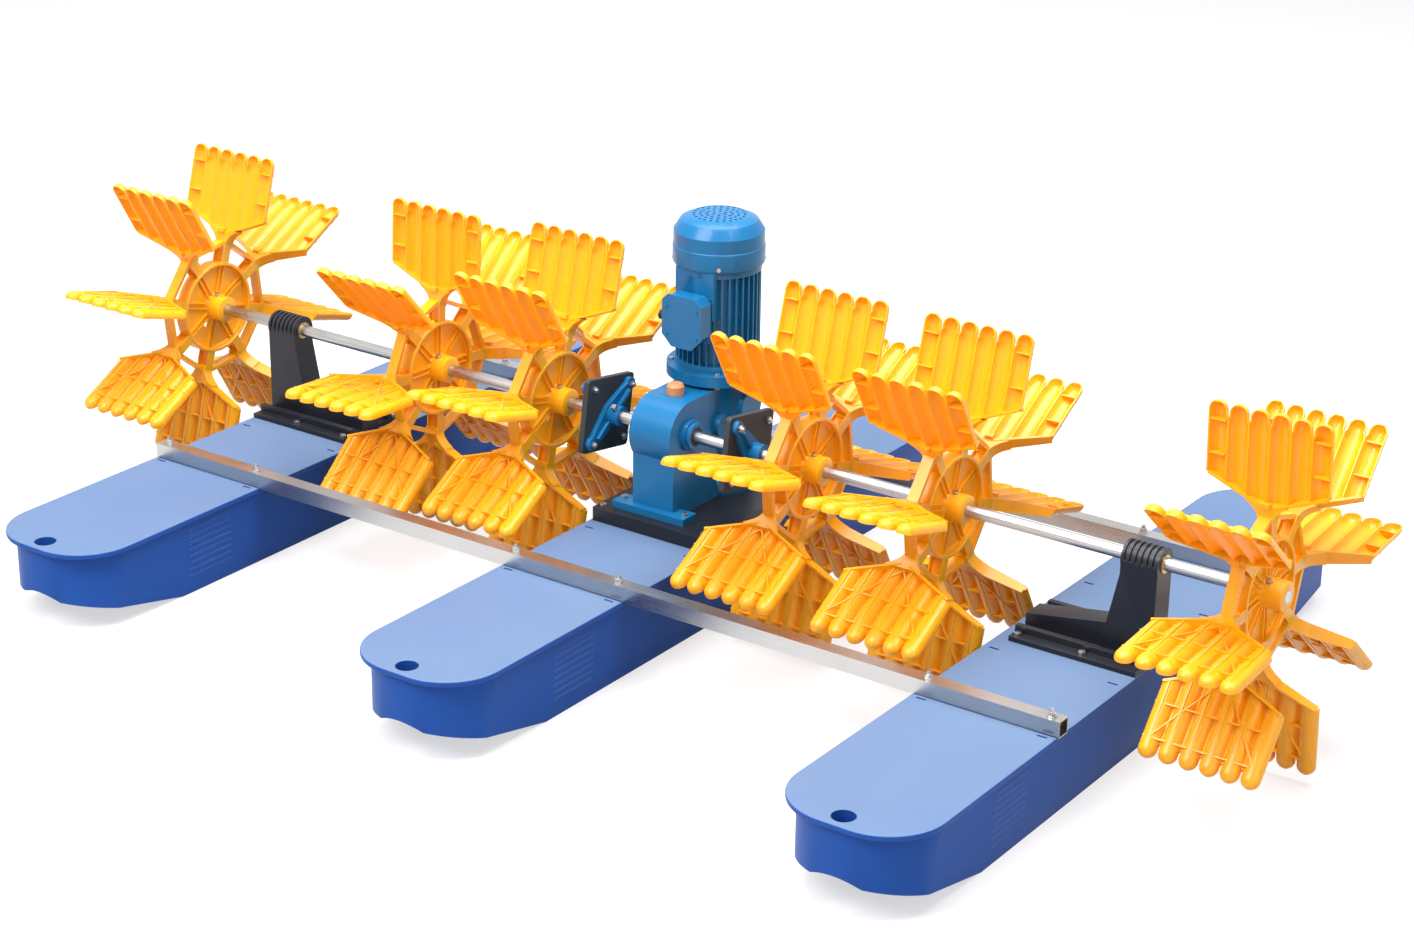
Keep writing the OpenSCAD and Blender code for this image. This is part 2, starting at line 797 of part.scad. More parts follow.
module cable_gland() {
  color(black) at_motor(frame_z + box_z) translate([-box_half, -box_front + 16, 0]) rotate([0, -90, 0]) {
    difference() {
      union() {
        translate([0, 0, -8]) cylinder(h = 10, r = 8 - fixed_clearance);
        cylinder(h = 7, r = 13, $fn = 6);
        translate([0, 0, 7]) cylinder(h = 12, r = 10.5);
      }
      translate([0, 0, -10]) cylinder(h = 40, r = 5);
    }
  }
}

// Shaft line: everything that turns with the wheels

module output_shaft() {
  color(steel) at_shaft() rod_x(left_plate_x + plate_t / 2 + 2, right_plate_x - plate_t / 2 - 2, shaft_r);
}

module output_gear() {
  color(steel) at_shaft() difference() {
    union() {
      along_x(spur_x - spur_w / 2, spur_x + spur_w / 2) spur_2d(output_teeth, spur_module);
      rod_x(spur_x - spur_w / 2, spur_x + spur_w / 2 + 14, 22);
    }
    rod_x(spur_x - 40, spur_x + 60, shaft_r + fixed_clearance);
  }
}

module arms_2d() {
  circle(26);
  polygon([[0, 26], [arm_reach, 11], [arm_reach, -11], [0, -26], [-arm_reach, -11], [-arm_reach, 11]]);
  for (s = [-1, 1]) {
    translate([s * arm_reach, 0]) circle(14);
  }
}

// Flange with its arms from x0 towards side s, turned by a
module coupling_flange(x0, s, a) {
  x1 = x0 + s * arm_t;
  x2 = x0 + s * coupling_len;
  color(enamel) at_shaft() rotate([a, 0, 0]) difference() {
    union() {
      along_x(min(x0, x1), max(x0, x1)) arms_2d();
      rod_x(min(x0, x2), max(x0, x2), coupling_r);
      translate([min(x0, x1 + s * 7), -arm_reach + 14, -3]) cube([arm_t + 7, 2 * arm_reach - 28, 6]);
    }
    rod_x(min(x0, x2) - e, max(x0, x2) + e, shaft_r + fixed_clearance);
    for (y = [-1, 1]) {
      translate([0, y * arm_reach, 0]) rod_x(min(x0, x1) - e, max(x0, x1) + e, 4);
    }
    translate([x0 + s * (coupling_len - 9), 0, 0]) cylinder(h = 60, r = 4);
  }
}

module rubber_plate(x) {
  color(rubber) at_shaft() rotate([plate_turn, 0, 0]) difference() {
    along_x(x - plate_t / 2, x + plate_t / 2) plan_2d(plate_size / 2, plate_size / 2, 9);
    rod_x(x - plate_t, x + plate_t, 15);
    for (a = [45 : 90 : 315]) {
      rotate([a, 0, 0]) translate([0, arm_reach, 0]) rod_x(x - plate_t, x + plate_t, 4);
    }
  }
}

module plate_bolts(x, s) {
  r = 4 - fixed_clearance;
  lo = x - plate_t / 2;
  hi = x + plate_t / 2;
  at_shaft() rotate([plate_turn, 0, 0]) for (a = [45 : 90 : 315]) {
    drive = (a == 45 || a == 225) ? s : -s;
    x0 = drive > 0 ? lo : lo - arm_t;
    x1 = drive > 0 ? hi + arm_t : hi;
    rotate([a, 0, 0]) translate([0, arm_reach, 0]) {
      rod_x(x0 - 6, x1 + 10, r);
      translate([x0 - 6, 0, 0]) rotate([0, 90, 0]) cylinder(h = 6, r = 7.5, $fn = 6);
      translate([x1, 0, 0]) rotate([0, 90, 0]) cylinder(h = 6, r = 7.5, $fn = 6);
    }
  }
  for (side = [-1, 1]) {
    a = plate_turn + (side == s ? 45 : 135);
    xs = x + side * (plate_t / 2 + coupling_len - 9);
    at_shaft() rotate([a, 0, 0]) translate([xs, 0, shaft_r + 0.2]) {
      cylinder(h = 16, r = 4 - fixed_clearance);
      translate([-5, -5, 12]) cube([10, 10, 9]);
    }
  }
}

module left_drive_flange() {
  coupling_flange(left_plate_x + plate_t / 2, 1, 45 + plate_turn);
}

module right_drive_flange() {
  coupling_flange(right_plate_x - plate_t / 2, -1, 45 + plate_turn);
}

module left_shaft_flange() {
  coupling_flange(left_plate_x - plate_t / 2, -1, 135 + plate_turn);
}

module right_shaft_flange() {
  coupling_flange(right_plate_x + plate_t / 2, 1, 135 + plate_turn);
}

module left_rubber_plate() {
  rubber_plate(left_plate_x);
}

module right_rubber_plate() {
  rubber_plate(right_plate_x);
}

module coupling_bolts() {
  color(steel) plate_bolts(left_plate_x, 1);
  color(steel) plate_bolts(right_plate_x, -1);
}

module left_paddle_shaft() {
  color(steel) at_shaft() rod_x(-shaft_end_x, left_plate_x - plate_t / 2 - 2, shaft_r);
}

module right_paddle_shaft() {
  color(steel) at_shaft() rod_x(right_plate_x + plate_t / 2 + 2, shaft_end_x, shaft_r);
}

// Paddle wheel: a vane stands along Z with its open side towards -Y

module bullet_2d(r, l) {
  intersection() {
    union() {
      square([r, l]);
      translate([0, l]) circle(r);
    }
    square([r, l + r]);
  }
}

module finger(l) {
  rotate_extrude(angle = 180) difference() {
    bullet_2d(finger_r, l);
    translate([0, -e]) bullet_2d(finger_r - vane_wall, l + e);
  }
}

module vane_outline_2d() {
  n = 15;
  polygon([
    [-n, neck_radius - 10], [n, neck_radius - 10], [n, neck_radius], [vane_width / 2, side_start_radius],
    [vane_width / 2, wheel_radius + e], [-vane_width / 2, wheel_radius + e],
    [-vane_width / 2, side_start_radius],
    [-n, neck_radius]]);
}

module oblique_wall(s) {
  mirror([s < 0 ? 1 : 0, 0, 0]) rotate([-90, 0, 0]) mirror([0, 1, 0]) linear_extrude(finger_r + 6) polygon([
    [0, neck_radius - 10], [15, neck_radius], [vane_width / 2, side_start_radius],
    [vane_width / 2, side_start_radius + vane_wall + 2], [15, neck_radius + vane_wall + 2],
    [0, neck_radius]]);
}

module vane() {
  translate([0, -finger_r / 2, 0]) {
    intersection() {
      vane_shell();
      rotate([90, 0, 0]) translate([0, 0, -60]) linear_extrude(120) vane_outline_2d();
    }
    oblique_wall(1);
    oblique_wall(-1);
  }
}

module vane_shell() {
  for (i = [0 : finger_count - 1]) {
    translate([(i - (finger_count - 1) / 2) * finger_pitch, 0, neck_radius - 12])
      finger(wheel_radius - finger_r - neck_radius + 12);
  }
  for (i = [1 : finger_count - 1]) {
    translate([(i - finger_count / 2) * finger_pitch - finger_gap, 0, neck_radius - 12])
      cube([2 * finger_gap, vane_wall, wheel_radius - notch_depth - neck_radius + 12]);
  }
  for (x = [-vane_width / 2, vane_width / 2 - vane_wall]) {
    translate([x, 0, side_start_radius - 8])
      cube([vane_wall, finger_r + 2, wheel_radius - finger_r - side_start_radius + 8]);
  }
}

module wheel(x, turn) {
  rib = 5;
  step = 360 / vane_count;
  color(yellow) at_shaft() translate([x, 0, 0]) rotate([turn, 0, 0]) difference() {
    union() {
      for (k = [0 : vane_count - 1]) {
        rotate([k * step, 0, 0]) {
          vane();
          translate([-14, -6, web_radius - 4]) cube([28, 12, neck_radius - web_radius + 8]);
          translate([-13, -rib / 2, hub_diameter / 2 - 4]) cube([26, rib, web_radius - hub_diameter / 2 + 2]);
          rotate([step / 2, 0, 0]) translate([-12, -57, 134]) cube([24, 114, 9]);
        }
      }
      rod_x(-hub_length / 2, hub_length / 2, hub_diameter / 2);
      rod_x(-3, 3, web_radius);
      ring_x(-16, 16, web_radius + 5, web_radius - 3);
    }
    rod_x(-hub_length, hub_length, shaft_r + fixed_clearance);
    rotate([step / 4, 0, 0]) translate([0, 0, 44]) rod_x(-10, 10, 4.5);
    rotate([step / 2, 0, 0]) translate([hub_length / 2 - 8, 0, 0]) cylinder(h = 60, r = 4);
  }
}

module wheel_set_screws() {
  color(steel) for (i = [0 : 5]) {
    at_shaft() translate([wheel_xs[i] + hub_length / 2 - 8, 0, 0])
      rotate([wheel_turns[i] + 180 / vane_count, 0, 0]) translate([0, 0, shaft_r + 0.2]) {
        cylinder(h = 18, r = 4 - fixed_clearance);
        translate([0, 0, 16.5]) cylinder(h = 6, r = 6.5, $fn = 6);
      }
  }
}

module left_outer_wheel() {
  wheel(wheel_xs[0], wheel_turns[0]);
}

module left_middle_wheel() {
  wheel(wheel_xs[1], wheel_turns[1]);
}

module left_inner_wheel() {
  wheel(wheel_xs[2], wheel_turns[2]);
}

module right_inner_wheel() {
  wheel(wheel_xs[3], wheel_turns[3]);
}

module right_middle_wheel() {
  wheel(wheel_xs[4], wheel_turns[4]);
}

module right_outer_wheel() {
  wheel(wheel_xs[5], wheel_turns[5]);
}

// Gear train

module idler_gear() {
  color(steel) translate([0, idler_y, idler_z]) difference() {
    union() {
      along_x(spur_x - spur_w / 2, spur_x + spur_w / 2) rotate(phase_i) spur_2d(output_teeth, spur_module);
      rod_x(spur_x - spur_w / 2, spur_x + spur_w / 2 + 40, 17);
    }
    rod_x(spur_x - 40, spur_x + 80, idler_pin_r + running_clearance - fixed_clearance);
  }
}

module countershaft() {
  color(steel) translate([0, motor_y, counter_z]) {
    rod_x(arch_l - 3, counter_right, counter_r);
    along_x(spur_x - spur_w / 2 - 1, spur_x + spur_w / 2 + 1) rotate(phase_p)
      spur_2d(pinion_teeth, spur_module);
  }
}

// Bevel teeth: sections shrink towards the point where both axes meet
bg = bevel_module * bevel_gear_teeth / 2;
bp = bevel_module * bevel_pinion_teeth / 2;
cone = sqrt(bg * bg + bp * bp);
gear_angle = atan2(bg, bp);
pinion_angle = 90 - gear_angle;
tip_angle = atan2(0.8 * bevel_module, cone);
root_angle = atan2(1.1 * bevel_module, cone);

module bevel_gear() {
  far = bp * 1.25;
  near = bp * 0.5;
  rt = far * tan(gear_angle + tip_angle);
  rr = far * tan(gear_angle - root_angle);
  at = 90 / bevel_gear_teeth * 0.52;
  ar = 90 / bevel_gear_teeth * 1.3;
  pitch = 360 / bevel_gear_teeth;
  color(steel) translate([gearbox_x, motor_y, counter_z]) difference() {
    union() {
      intersection() {
        rotate([0, 90, 0]) translate([0, 0, far]) mirror([0, 0, 1])
          linear_extrude(far - near, scale = near / far)
            polygon([for (k = [0 : bevel_gear_teeth - 1]) each [
              for (c = [[-ar, rr], [-at, rt], [at, rt], [ar, rr]])
                let (a = (k + 0.5) * pitch + c[0]) [c[1] * cos(a), c[1] * sin(a)]]]);
        ring_x(0, 40, bg + 0.6, bg * 0.68);
      }
      rod_x(far - 0.4, bp + 10, bg + 0.6);
      rod_x(bp, bp + 20, 18);
    }
    rod_x(-10, 60, counter_r + fixed_clearance);
  }
}

module bevel_pinion() {
  z0 = bg * 0.68;
  rt = bg * tan(pinion_angle + tip_angle);
  rr = bg * tan(pinion_angle - root_angle);
  n = bevel_pinion_teeth;
  m = bevel_module;
  rs = [rr, bp - 0.45 * m, bp, (bp + rt) / 2, rt];
  color(steel) at_motor(counter_z) difference() {
    union() {
      translate([0, 0, bg]) mirror([0, 0, 1]) linear_extrude(bg - z0, scale = z0 / bg)
        polygon([for (k = [0 : n - 1]) each concat(
          [for (r = rs) let (a = k * 360 / n - flank(n, m, max(r, bp * cos(20)))) [r * cos(a), r * sin(a)]],
          [for (i = [4 : -1 : 0]) let (a = k * 360 / n + flank(n, m, max(rs[i], bp * cos(20))))
            [rs[i] * cos(a), rs[i] * sin(a)]])]);
      translate([0, 0, bg - 0.4]) cylinder(h = column_top + 3.4 - counter_z - bg, r = 10.2);
    }
    translate([0, 0, z0 - e]) cylinder(h = 80, r = pinion_bore + fixed_clearance);
  }
}

module rotor_shaft() {
  color(steel) at_motor(0) {
    translate([0, 0, counter_z + bg * 0.68]) cylinder(h = frame_z - counter_z - bg * 0.68, r = pinion_bore);
    translate([0, 0, column_top + 3]) cylinder(h = frame_top - 14 - column_top - 3, r = drive_r);
    translate([0, 0, frame_top - 16]) cylinder(h = 66, r = top_r);
  }
}

module rotor_core() {
  color(steel) at_motor(frame_z + 40) difference() {
    cylinder(h = stack_len, r = rotor_r);
    translate([0, 0, -e]) cylinder(h = stack_len + 2 * e, r = drive_r + fixed_clearance);
  }
}

module cooling_fan() {
  color(black) at_motor(frame_top + 20) difference() {
    union() {
      cylinder(h = 26, r = 20);
      cylinder(h = 3, r = 74);
      for (k = [0 : 7]) {
        rotate([0, 0, k * 45]) translate([16, -1.5, 0]) cube([60, 3, 26]);
      }
    }
    translate([0, 0, -e]) cylinder(h = 40, r = top_r + fixed_clearance);
  }
}

left_float();
centre_float();
right_float();
front_cross_tube();
rear_cross_tube();
tube_bolts();
left_bearing_stand();
right_bearing_stand();
left_bearing_bush();
right_bearing_bush();
stand_bolts();
motor_base();
motor_base_bolts();
gearbox_housing();
gearbox_cover();
gearbox_screws();
oil_plug();
output_bearings();
output_seals();
countershaft_bearings();
idler_pin();
motor_flange();
motor_flange_bolts();
motor_frame();
motor_end_shield();
motor_bearings();
stator_core();
fan_cover();
motor_screws();
terminal_box();
terminal_box_lid();
cable_gland();
output_shaft();
output_gear();
left_drive_flange();
right_drive_flange();
left_rubber_plate();
right_rubber_plate();
left_shaft_flange();
right_shaft_flange();
coupling_bolts();
left_paddle_shaft();
right_paddle_shaft();
left_outer_wheel();
left_middle_wheel();
left_inner_wheel();
right_inner_wheel();
right_middle_wheel();
right_outer_wheel();
wheel_set_screws();
idler_gear();
countershaft();
bevel_gear();
rotor_shaft();
rotor_core();
bevel_pinion();
cooling_fan();
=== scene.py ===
"""Looks of the paddle wheel aerator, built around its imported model."""

import json
import logging
import math
from dataclasses import dataclass, field
from enum import Enum
from typing import Callable, Dict, List, Optional, Sequence, Tuple

import bmesh
import bpy
from mathutils import Matrix, Vector


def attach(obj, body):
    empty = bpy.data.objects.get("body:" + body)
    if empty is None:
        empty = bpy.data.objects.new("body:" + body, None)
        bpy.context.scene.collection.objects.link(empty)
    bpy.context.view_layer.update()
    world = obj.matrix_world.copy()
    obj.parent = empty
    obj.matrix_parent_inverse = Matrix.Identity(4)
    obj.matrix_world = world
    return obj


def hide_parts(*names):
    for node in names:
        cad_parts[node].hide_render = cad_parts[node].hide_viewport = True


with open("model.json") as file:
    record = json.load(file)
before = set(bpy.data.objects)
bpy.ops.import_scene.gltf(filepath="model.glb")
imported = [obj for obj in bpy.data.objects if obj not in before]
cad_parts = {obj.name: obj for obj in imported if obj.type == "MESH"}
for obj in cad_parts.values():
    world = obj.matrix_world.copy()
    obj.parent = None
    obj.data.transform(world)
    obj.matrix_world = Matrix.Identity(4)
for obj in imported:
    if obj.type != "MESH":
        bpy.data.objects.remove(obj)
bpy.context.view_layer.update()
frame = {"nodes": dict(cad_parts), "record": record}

LOG = logging.getLogger("aerator")
MM = 0.001
MERGE_DISTANCE = 0.005 * MM
FLAT_ANGLE = math.radians(0.6)
FASTENER_ROUND = 0.5 * MM
Colour = Tuple[float, float, float]


class Body(Enum):
    """The bodies that the scene's own pieces ride on."""

    FRAME = "frame"
    PADDLE_LINE = "paddle_line"


class Slot(Enum):
    """The record's material slots."""

    FLOAT = "float_plastic"
    BLACK = "black_plastic"
    ENAMEL = "blue_enamel"
    WHEEL = "wheel_plastic"
    RUBBER = "rubber"
    BUSH = "bush_bronze"
    PLUG = "plug_plastic"
    MACHINED = "machined_steel"
    STAINLESS = "stainless"


class Grain(Enum):
    """How the fine texture of a finish runs."""

    EVEN = (1.0, 1.0, 1.0)
    ALONG_X = (0.02, 1.0, 1.0)


def start_group(name: str, inputs: Sequence[Tuple[str, str, object]], outputs: Sequence[Tuple[str, str]]
                ) -> Tuple[bpy.types.NodeTree, bpy.types.Node, bpy.types.Node]:
    """Start a shader node group with named sockets.

    Args:
        name: The group's name.
        inputs: Name, kind and default of each input.
        outputs: Name and kind of each output.

    Returns:
        The group, its input node and its output node.
    """
    tree = bpy.data.node_groups.new(name, "ShaderNodeTree")
    for socket, kind, value in inputs:
        made = tree.interface.new_socket(name=socket, in_out="INPUT", socket_type="NodeSocket" + kind)
        made.default_value = value
    for socket, kind in outputs:
        tree.interface.new_socket(name=socket, in_out="OUTPUT", socket_type="NodeSocket" + kind)
    return tree, tree.nodes.new("NodeGroupInput"), tree.nodes.new("NodeGroupOutput")


def math_node(tree: bpy.types.NodeTree, operation: str, clamp: bool = False) -> bpy.types.Node:
    """Make a math node.

    Args:
        tree: The node tree.
        operation: The math operation.
        clamp: True to hold the result in 0 to 1.

    Returns:
        The node.
    """
    node = tree.nodes.new("ShaderNodeMath")
    node.operation = operation
    node.use_clamp = clamp
    return node


def make_surface_group() -> bpy.types.NodeTree:
    """Build the group that varies colour, roughness and height over a moulded or painted surface.

    Returns:
        The node group.
    """
    tree, inp, out = start_group(
        "surface_variation",
        [("Colour", "Color", (0.5, 0.5, 0.5, 1)), ("Tint", "Color", (0.4, 0.4, 0.4, 1)),
         ("Roughness", "Float", 0.4), ("Spread", "Float", 0.1), ("Blotch Scale", "Float", 6.0),
         ("Grain Scale", "Float", 400.0), ("Grain Stretch", "Vector", (1, 1, 1))],
        [("Colour", "Color"), ("Roughness", "Float"), ("Height", "Float")])
    nodes, links = tree.nodes, tree.links
    coord = nodes.new("ShaderNodeTexCoord")
    blotch = nodes.new("ShaderNodeTexNoise")
    blotch.inputs["Detail"].default_value = 4.0
    stretch = nodes.new("ShaderNodeVectorMath")
    stretch.operation = "MULTIPLY"
    grain = nodes.new("ShaderNodeTexNoise")
    grain.inputs["Detail"].default_value = 3.0
    mix = nodes.new("ShaderNodeMix")
    mix.data_type = "RGBA"
    centre = math_node(tree, "SUBTRACT")
    centre.inputs[1].default_value = 1.0
    scaled = math_node(tree, "MULTIPLY")
    rough = math_node(tree, "ADD", clamp=True)
    both = math_node(tree, "ADD")
    links.new(coord.outputs["Object"], blotch.inputs["Vector"])
    links.new(inp.outputs["Blotch Scale"], blotch.inputs["Scale"])
    links.new(coord.outputs["Object"], stretch.inputs[0])
    links.new(inp.outputs["Grain Stretch"], stretch.inputs[1])
    links.new(stretch.outputs["Vector"], grain.inputs["Vector"])
    links.new(inp.outputs["Grain Scale"], grain.inputs["Scale"])
    links.new(blotch.outputs["Fac"], mix.inputs["Factor"])
    links.new(inp.outputs["Colour"], mix.inputs["A"])
    links.new(inp.outputs["Tint"], mix.inputs["B"])
    links.new(grain.outputs["Fac"], both.inputs[0])
    links.new(blotch.outputs["Fac"], both.inputs[1])
    links.new(both.outputs[0], centre.inputs[0])
    links.new(centre.outputs[0], scaled.inputs[0])
    links.new(inp.outputs["Spread"], scaled.inputs[1])
    links.new(scaled.outputs[0], rough.inputs[0])
    links.new(inp.outputs["Roughness"], rough.inputs[1])
    links.new(mix.outputs["Result"], out.inputs["Colour"])
    links.new(rough.outputs[0], out.inputs["Roughness"])
    links.new(grain.outputs["Fac"], out.inputs["Height"])
    return tree


def make_edge_wear_and_highlight_group() -> bpy.types.NodeTree:
    """Build the group that lightens a colour along edges: rubbed-edge wear, together with a painted edge
    highlight.

    Returns:
        The node group.
    """
    tree, inp, out = start_group(
        "edge_wear_and_highlight",
        [("Colour", "Color", (0.5, 0.5, 0.5, 1)), ("Worn And Lit Edge Colour", "Color", (0.8, 0.8, 0.8, 1)),
         ("Amount", "Float", 0.3)],
        [("Colour", "Color"), ("Mask", "Float")])
    nodes, links = tree.nodes, tree.links
    geometry = nodes.new("ShaderNodeNewGeometry")
    rounded = nodes.new("ShaderNodeBevel")
    rounded.samples = 4
    rounded.inputs["Radius"].default_value = 2.5 * MM
    dot = nodes.new("ShaderNodeVectorMath")
    dot.operation = "DOT_PRODUCT"
    ramp = nodes.new("ShaderNodeMapRange")
    ramp.inputs["From Min"].default_value = 0.995
    ramp.inputs["From Max"].default_value = 0.86
    coord = nodes.new("ShaderNodeTexCoord")
    breakup = nodes.new("ShaderNodeTexNoise")
    breakup.inputs["Scale"].default_value = 45.0
    breakup.inputs["Detail"].default_value = 5.0
    # Edges found by the bevel normal get the lighter colour: partly wear, partly a painted highlight
    # along the edges.
    worn_and_lit = math_node(tree, "MULTIPLY")
    level = math_node(tree, "MULTIPLY", clamp=True)
    mix = nodes.new("ShaderNodeMix")
    mix.data_type = "RGBA"
    links.new(geometry.outputs["Normal"], dot.inputs[0])
    links.new(rounded.outputs["Normal"], dot.inputs[1])
    links.new(dot.outputs["Value"], ramp.inputs["Value"])
    links.new(coord.outputs["Object"], breakup.inputs["Vector"])
    links.new(ramp.outputs["Result"], worn_and_lit.inputs[0])
    links.new(breakup.outputs["Fac"], worn_and_lit.inputs[1])
    links.new(worn_and_lit.outputs[0], level.inputs[0])
    links.new(inp.outputs["Amount"], level.inputs[1])
    links.new(level.outputs[0], mix.inputs["Factor"])
    links.new(inp.outputs["Colour"], mix.inputs["A"])
    links.new(inp.outputs["Worn And Lit Edge Colour"], mix.inputs["B"])
    links.new(mix.outputs["Result"], out.inputs["Colour"])
    links.new(level.outputs[0], out.inputs["Mask"])
    return tree


def make_top_sheen_group() -> bpy.types.NodeTree:
    """Build the group that paints a paler colour on faces that look up, as a painted sheen of the light
    from above.

    Returns:
        The node group.
    """
    tree, inp, out = start_group(
        "painted_top_sheen",
        [("Colour", "Color", (0.5, 0.5, 0.5, 1)), ("Sheen Colour", "Color", (0.8, 0.8, 0.8, 1))],
        [("Colour", "Color")])
    nodes, links = tree.nodes, tree.links
    # Faces whose world normal points up get the paler colour in uneven patches: painted sheen of the
    # overhead light.
    geometry = nodes.new("ShaderNodeNewGeometry")
    split = nodes.new("ShaderNodeSeparateXYZ")
    up = nodes.new("ShaderNodeMapRange")
    up.interpolation_type = "SMOOTHSTEP"
    up.inputs["From Min"].default_value = 0.55
    up.inputs["From Max"].default_value = 0.97
    coord = nodes.new("ShaderNodeTexCoord")
    patches = nodes.new("ShaderNodeTexNoise")
    patches.inputs["Scale"].default_value = 3.0
    patches.inputs["Detail"].default_value = 6.0
    uneven = nodes.new("ShaderNodeMapRange")
    uneven.inputs["From Min"].default_value = 0.25
    uneven.inputs["From Max"].default_value = 0.75
    uneven.inputs["To Min"].default_value = 0.82
    level = math_node(tree, "MULTIPLY", clamp=True)
    mix = nodes.new("ShaderNodeMix")
    mix.data_type = "RGBA"
    links.new(geometry.outputs["Normal"], split.inputs[0])
    links.new(split.outputs["Z"], up.inputs["Value"])
    links.new(coord.outputs["Object"], patches.inputs["Vector"])
    links.new(patches.outputs["Fac"], uneven.inputs["Value"])
    links.new(up.outputs["Result"], level.inputs[0])
    links.new(uneven.outputs["Result"], level.inputs[1])
    links.new(level.outputs[0], mix.inputs["Factor"])
    links.new(inp.outputs["Colour"], mix.inputs["A"])
    links.new(inp.outputs["Sheen Colour"], mix.inputs["B"])
    links.new(mix.outputs["Result"], out.inputs["Colour"])
    return tree


@dataclass(frozen=True)
class Groups:
    """The shader node groups that the finishes share."""

    surface: bpy.types.NodeTree
    edge: bpy.types.NodeTree
    fade: bpy.types.NodeTree


@dataclass(frozen=True)
class Finish:
    """One finish of the aerator.

    Colours are linear; the other fields are the shader's values.
    """

    name: str
    colour: Colour
    tint: Colour
    # Lighter colour along edges: rubbed-edge wear and a painted edge highlight.
    edge: Colour
    roughness: float
    spread: float
    # How strongly edges are lightened: wear and a painted edge highlight.
    wear_and_highlight: float = 0.3
    metallic: float = 0.0
    coat: float = 0.0
    coat_roughness: float = 0.12
    specular: float = 0.5
    subsurface: float = 0.0
    bleed: Colour = (1.0, 0.35, 0.05)
    bleed_depth: float = 6 * MM
    blotch: float = 5.0
    grain: float = 500.0
    bump: float = 0.05
    bump_depth: float = 1 * MM
    run: Grain = Grain.EVEN
    # Paler colour that up-facing faces get: painted sheen of the light from above.
    top_sheen: Optional[Colour] = None

    def build(self, groups: Groups) -> bpy.types.Material:
        """Make the material.

        Args:
            groups: The shared node groups.

        Returns:
            The material.
        """
        made = bpy.data.materials.new(self.name)
        made.use_nodes = True
        nodes, links = made.node_tree.nodes, made.node_tree.links
        shader = nodes["Principled BSDF"]
        shader.inputs["Metallic"].default_value = self.metallic
        shader.inputs["Coat Weight"].default_value = self.coat
        shader.inputs["Coat Roughness"].default_value = self.coat_roughness
        shader.inputs["Specular IOR Level"].default_value = self.specular
        shader.inputs["Subsurface Weight"].default_value = self.subsurface
        shader.inputs["Subsurface Radius"].default_value = self.bleed
        shader.inputs["Subsurface Scale"].default_value = self.bleed_depth
        vary = nodes.new("ShaderNodeGroup")
        vary.node_tree = groups.surface
        vary.inputs["Colour"].default_value = (*self.colour, 1)
        vary.inputs["Tint"].default_value = (*self.tint, 1)
        vary.inputs["Roughness"].default_value = self.roughness
        vary.inputs["Spread"].default_value = self.spread
        vary.inputs["Blotch Scale"].default_value = self.blotch
        vary.inputs["Grain Scale"].default_value = self.grain
        vary.inputs["Grain Stretch"].default_value = self.run.value
        # Lightened edges: wear and a painted edge highlight.
        lit_worn_edges = nodes.new("ShaderNodeGroup")
        lit_worn_edges.node_tree = groups.edge
        lit_worn_edges.inputs["Worn And Lit Edge Colour"].default_value = (*self.edge, 1)
        lit_worn_edges.inputs["Amount"].default_value = self.wear_and_highlight
        bump = nodes.new("ShaderNodeBump")
        bump.inputs["Strength"].default_value = self.bump
        bump.inputs["Distance"].default_value = self.bump_depth
        colour = vary.outputs["Colour"]
        # Up-facing faces are painted paler: painted sheen of the light from above.
        if self.top_sheen:
            fade = nodes.new("ShaderNodeGroup")
            fade.node_tree = groups.fade
            fade.inputs["Sheen Colour"].default_value = (*self.top_sheen, 1)
            links.new(colour, fade.inputs["Colour"])
            colour = fade.outputs["Colour"]
        links.new(colour, lit_worn_edges.inputs["Colour"])
        links.new(lit_worn_edges.outputs["Colour"], shader.inputs["Base Color"])
        links.new(vary.outputs["Roughness"], shader.inputs["Roughness"])
        links.new(vary.outputs["Height"], bump.inputs["Height"])
        links.new(bump.outputs["Normal"], shader.inputs["Normal"])
        return made


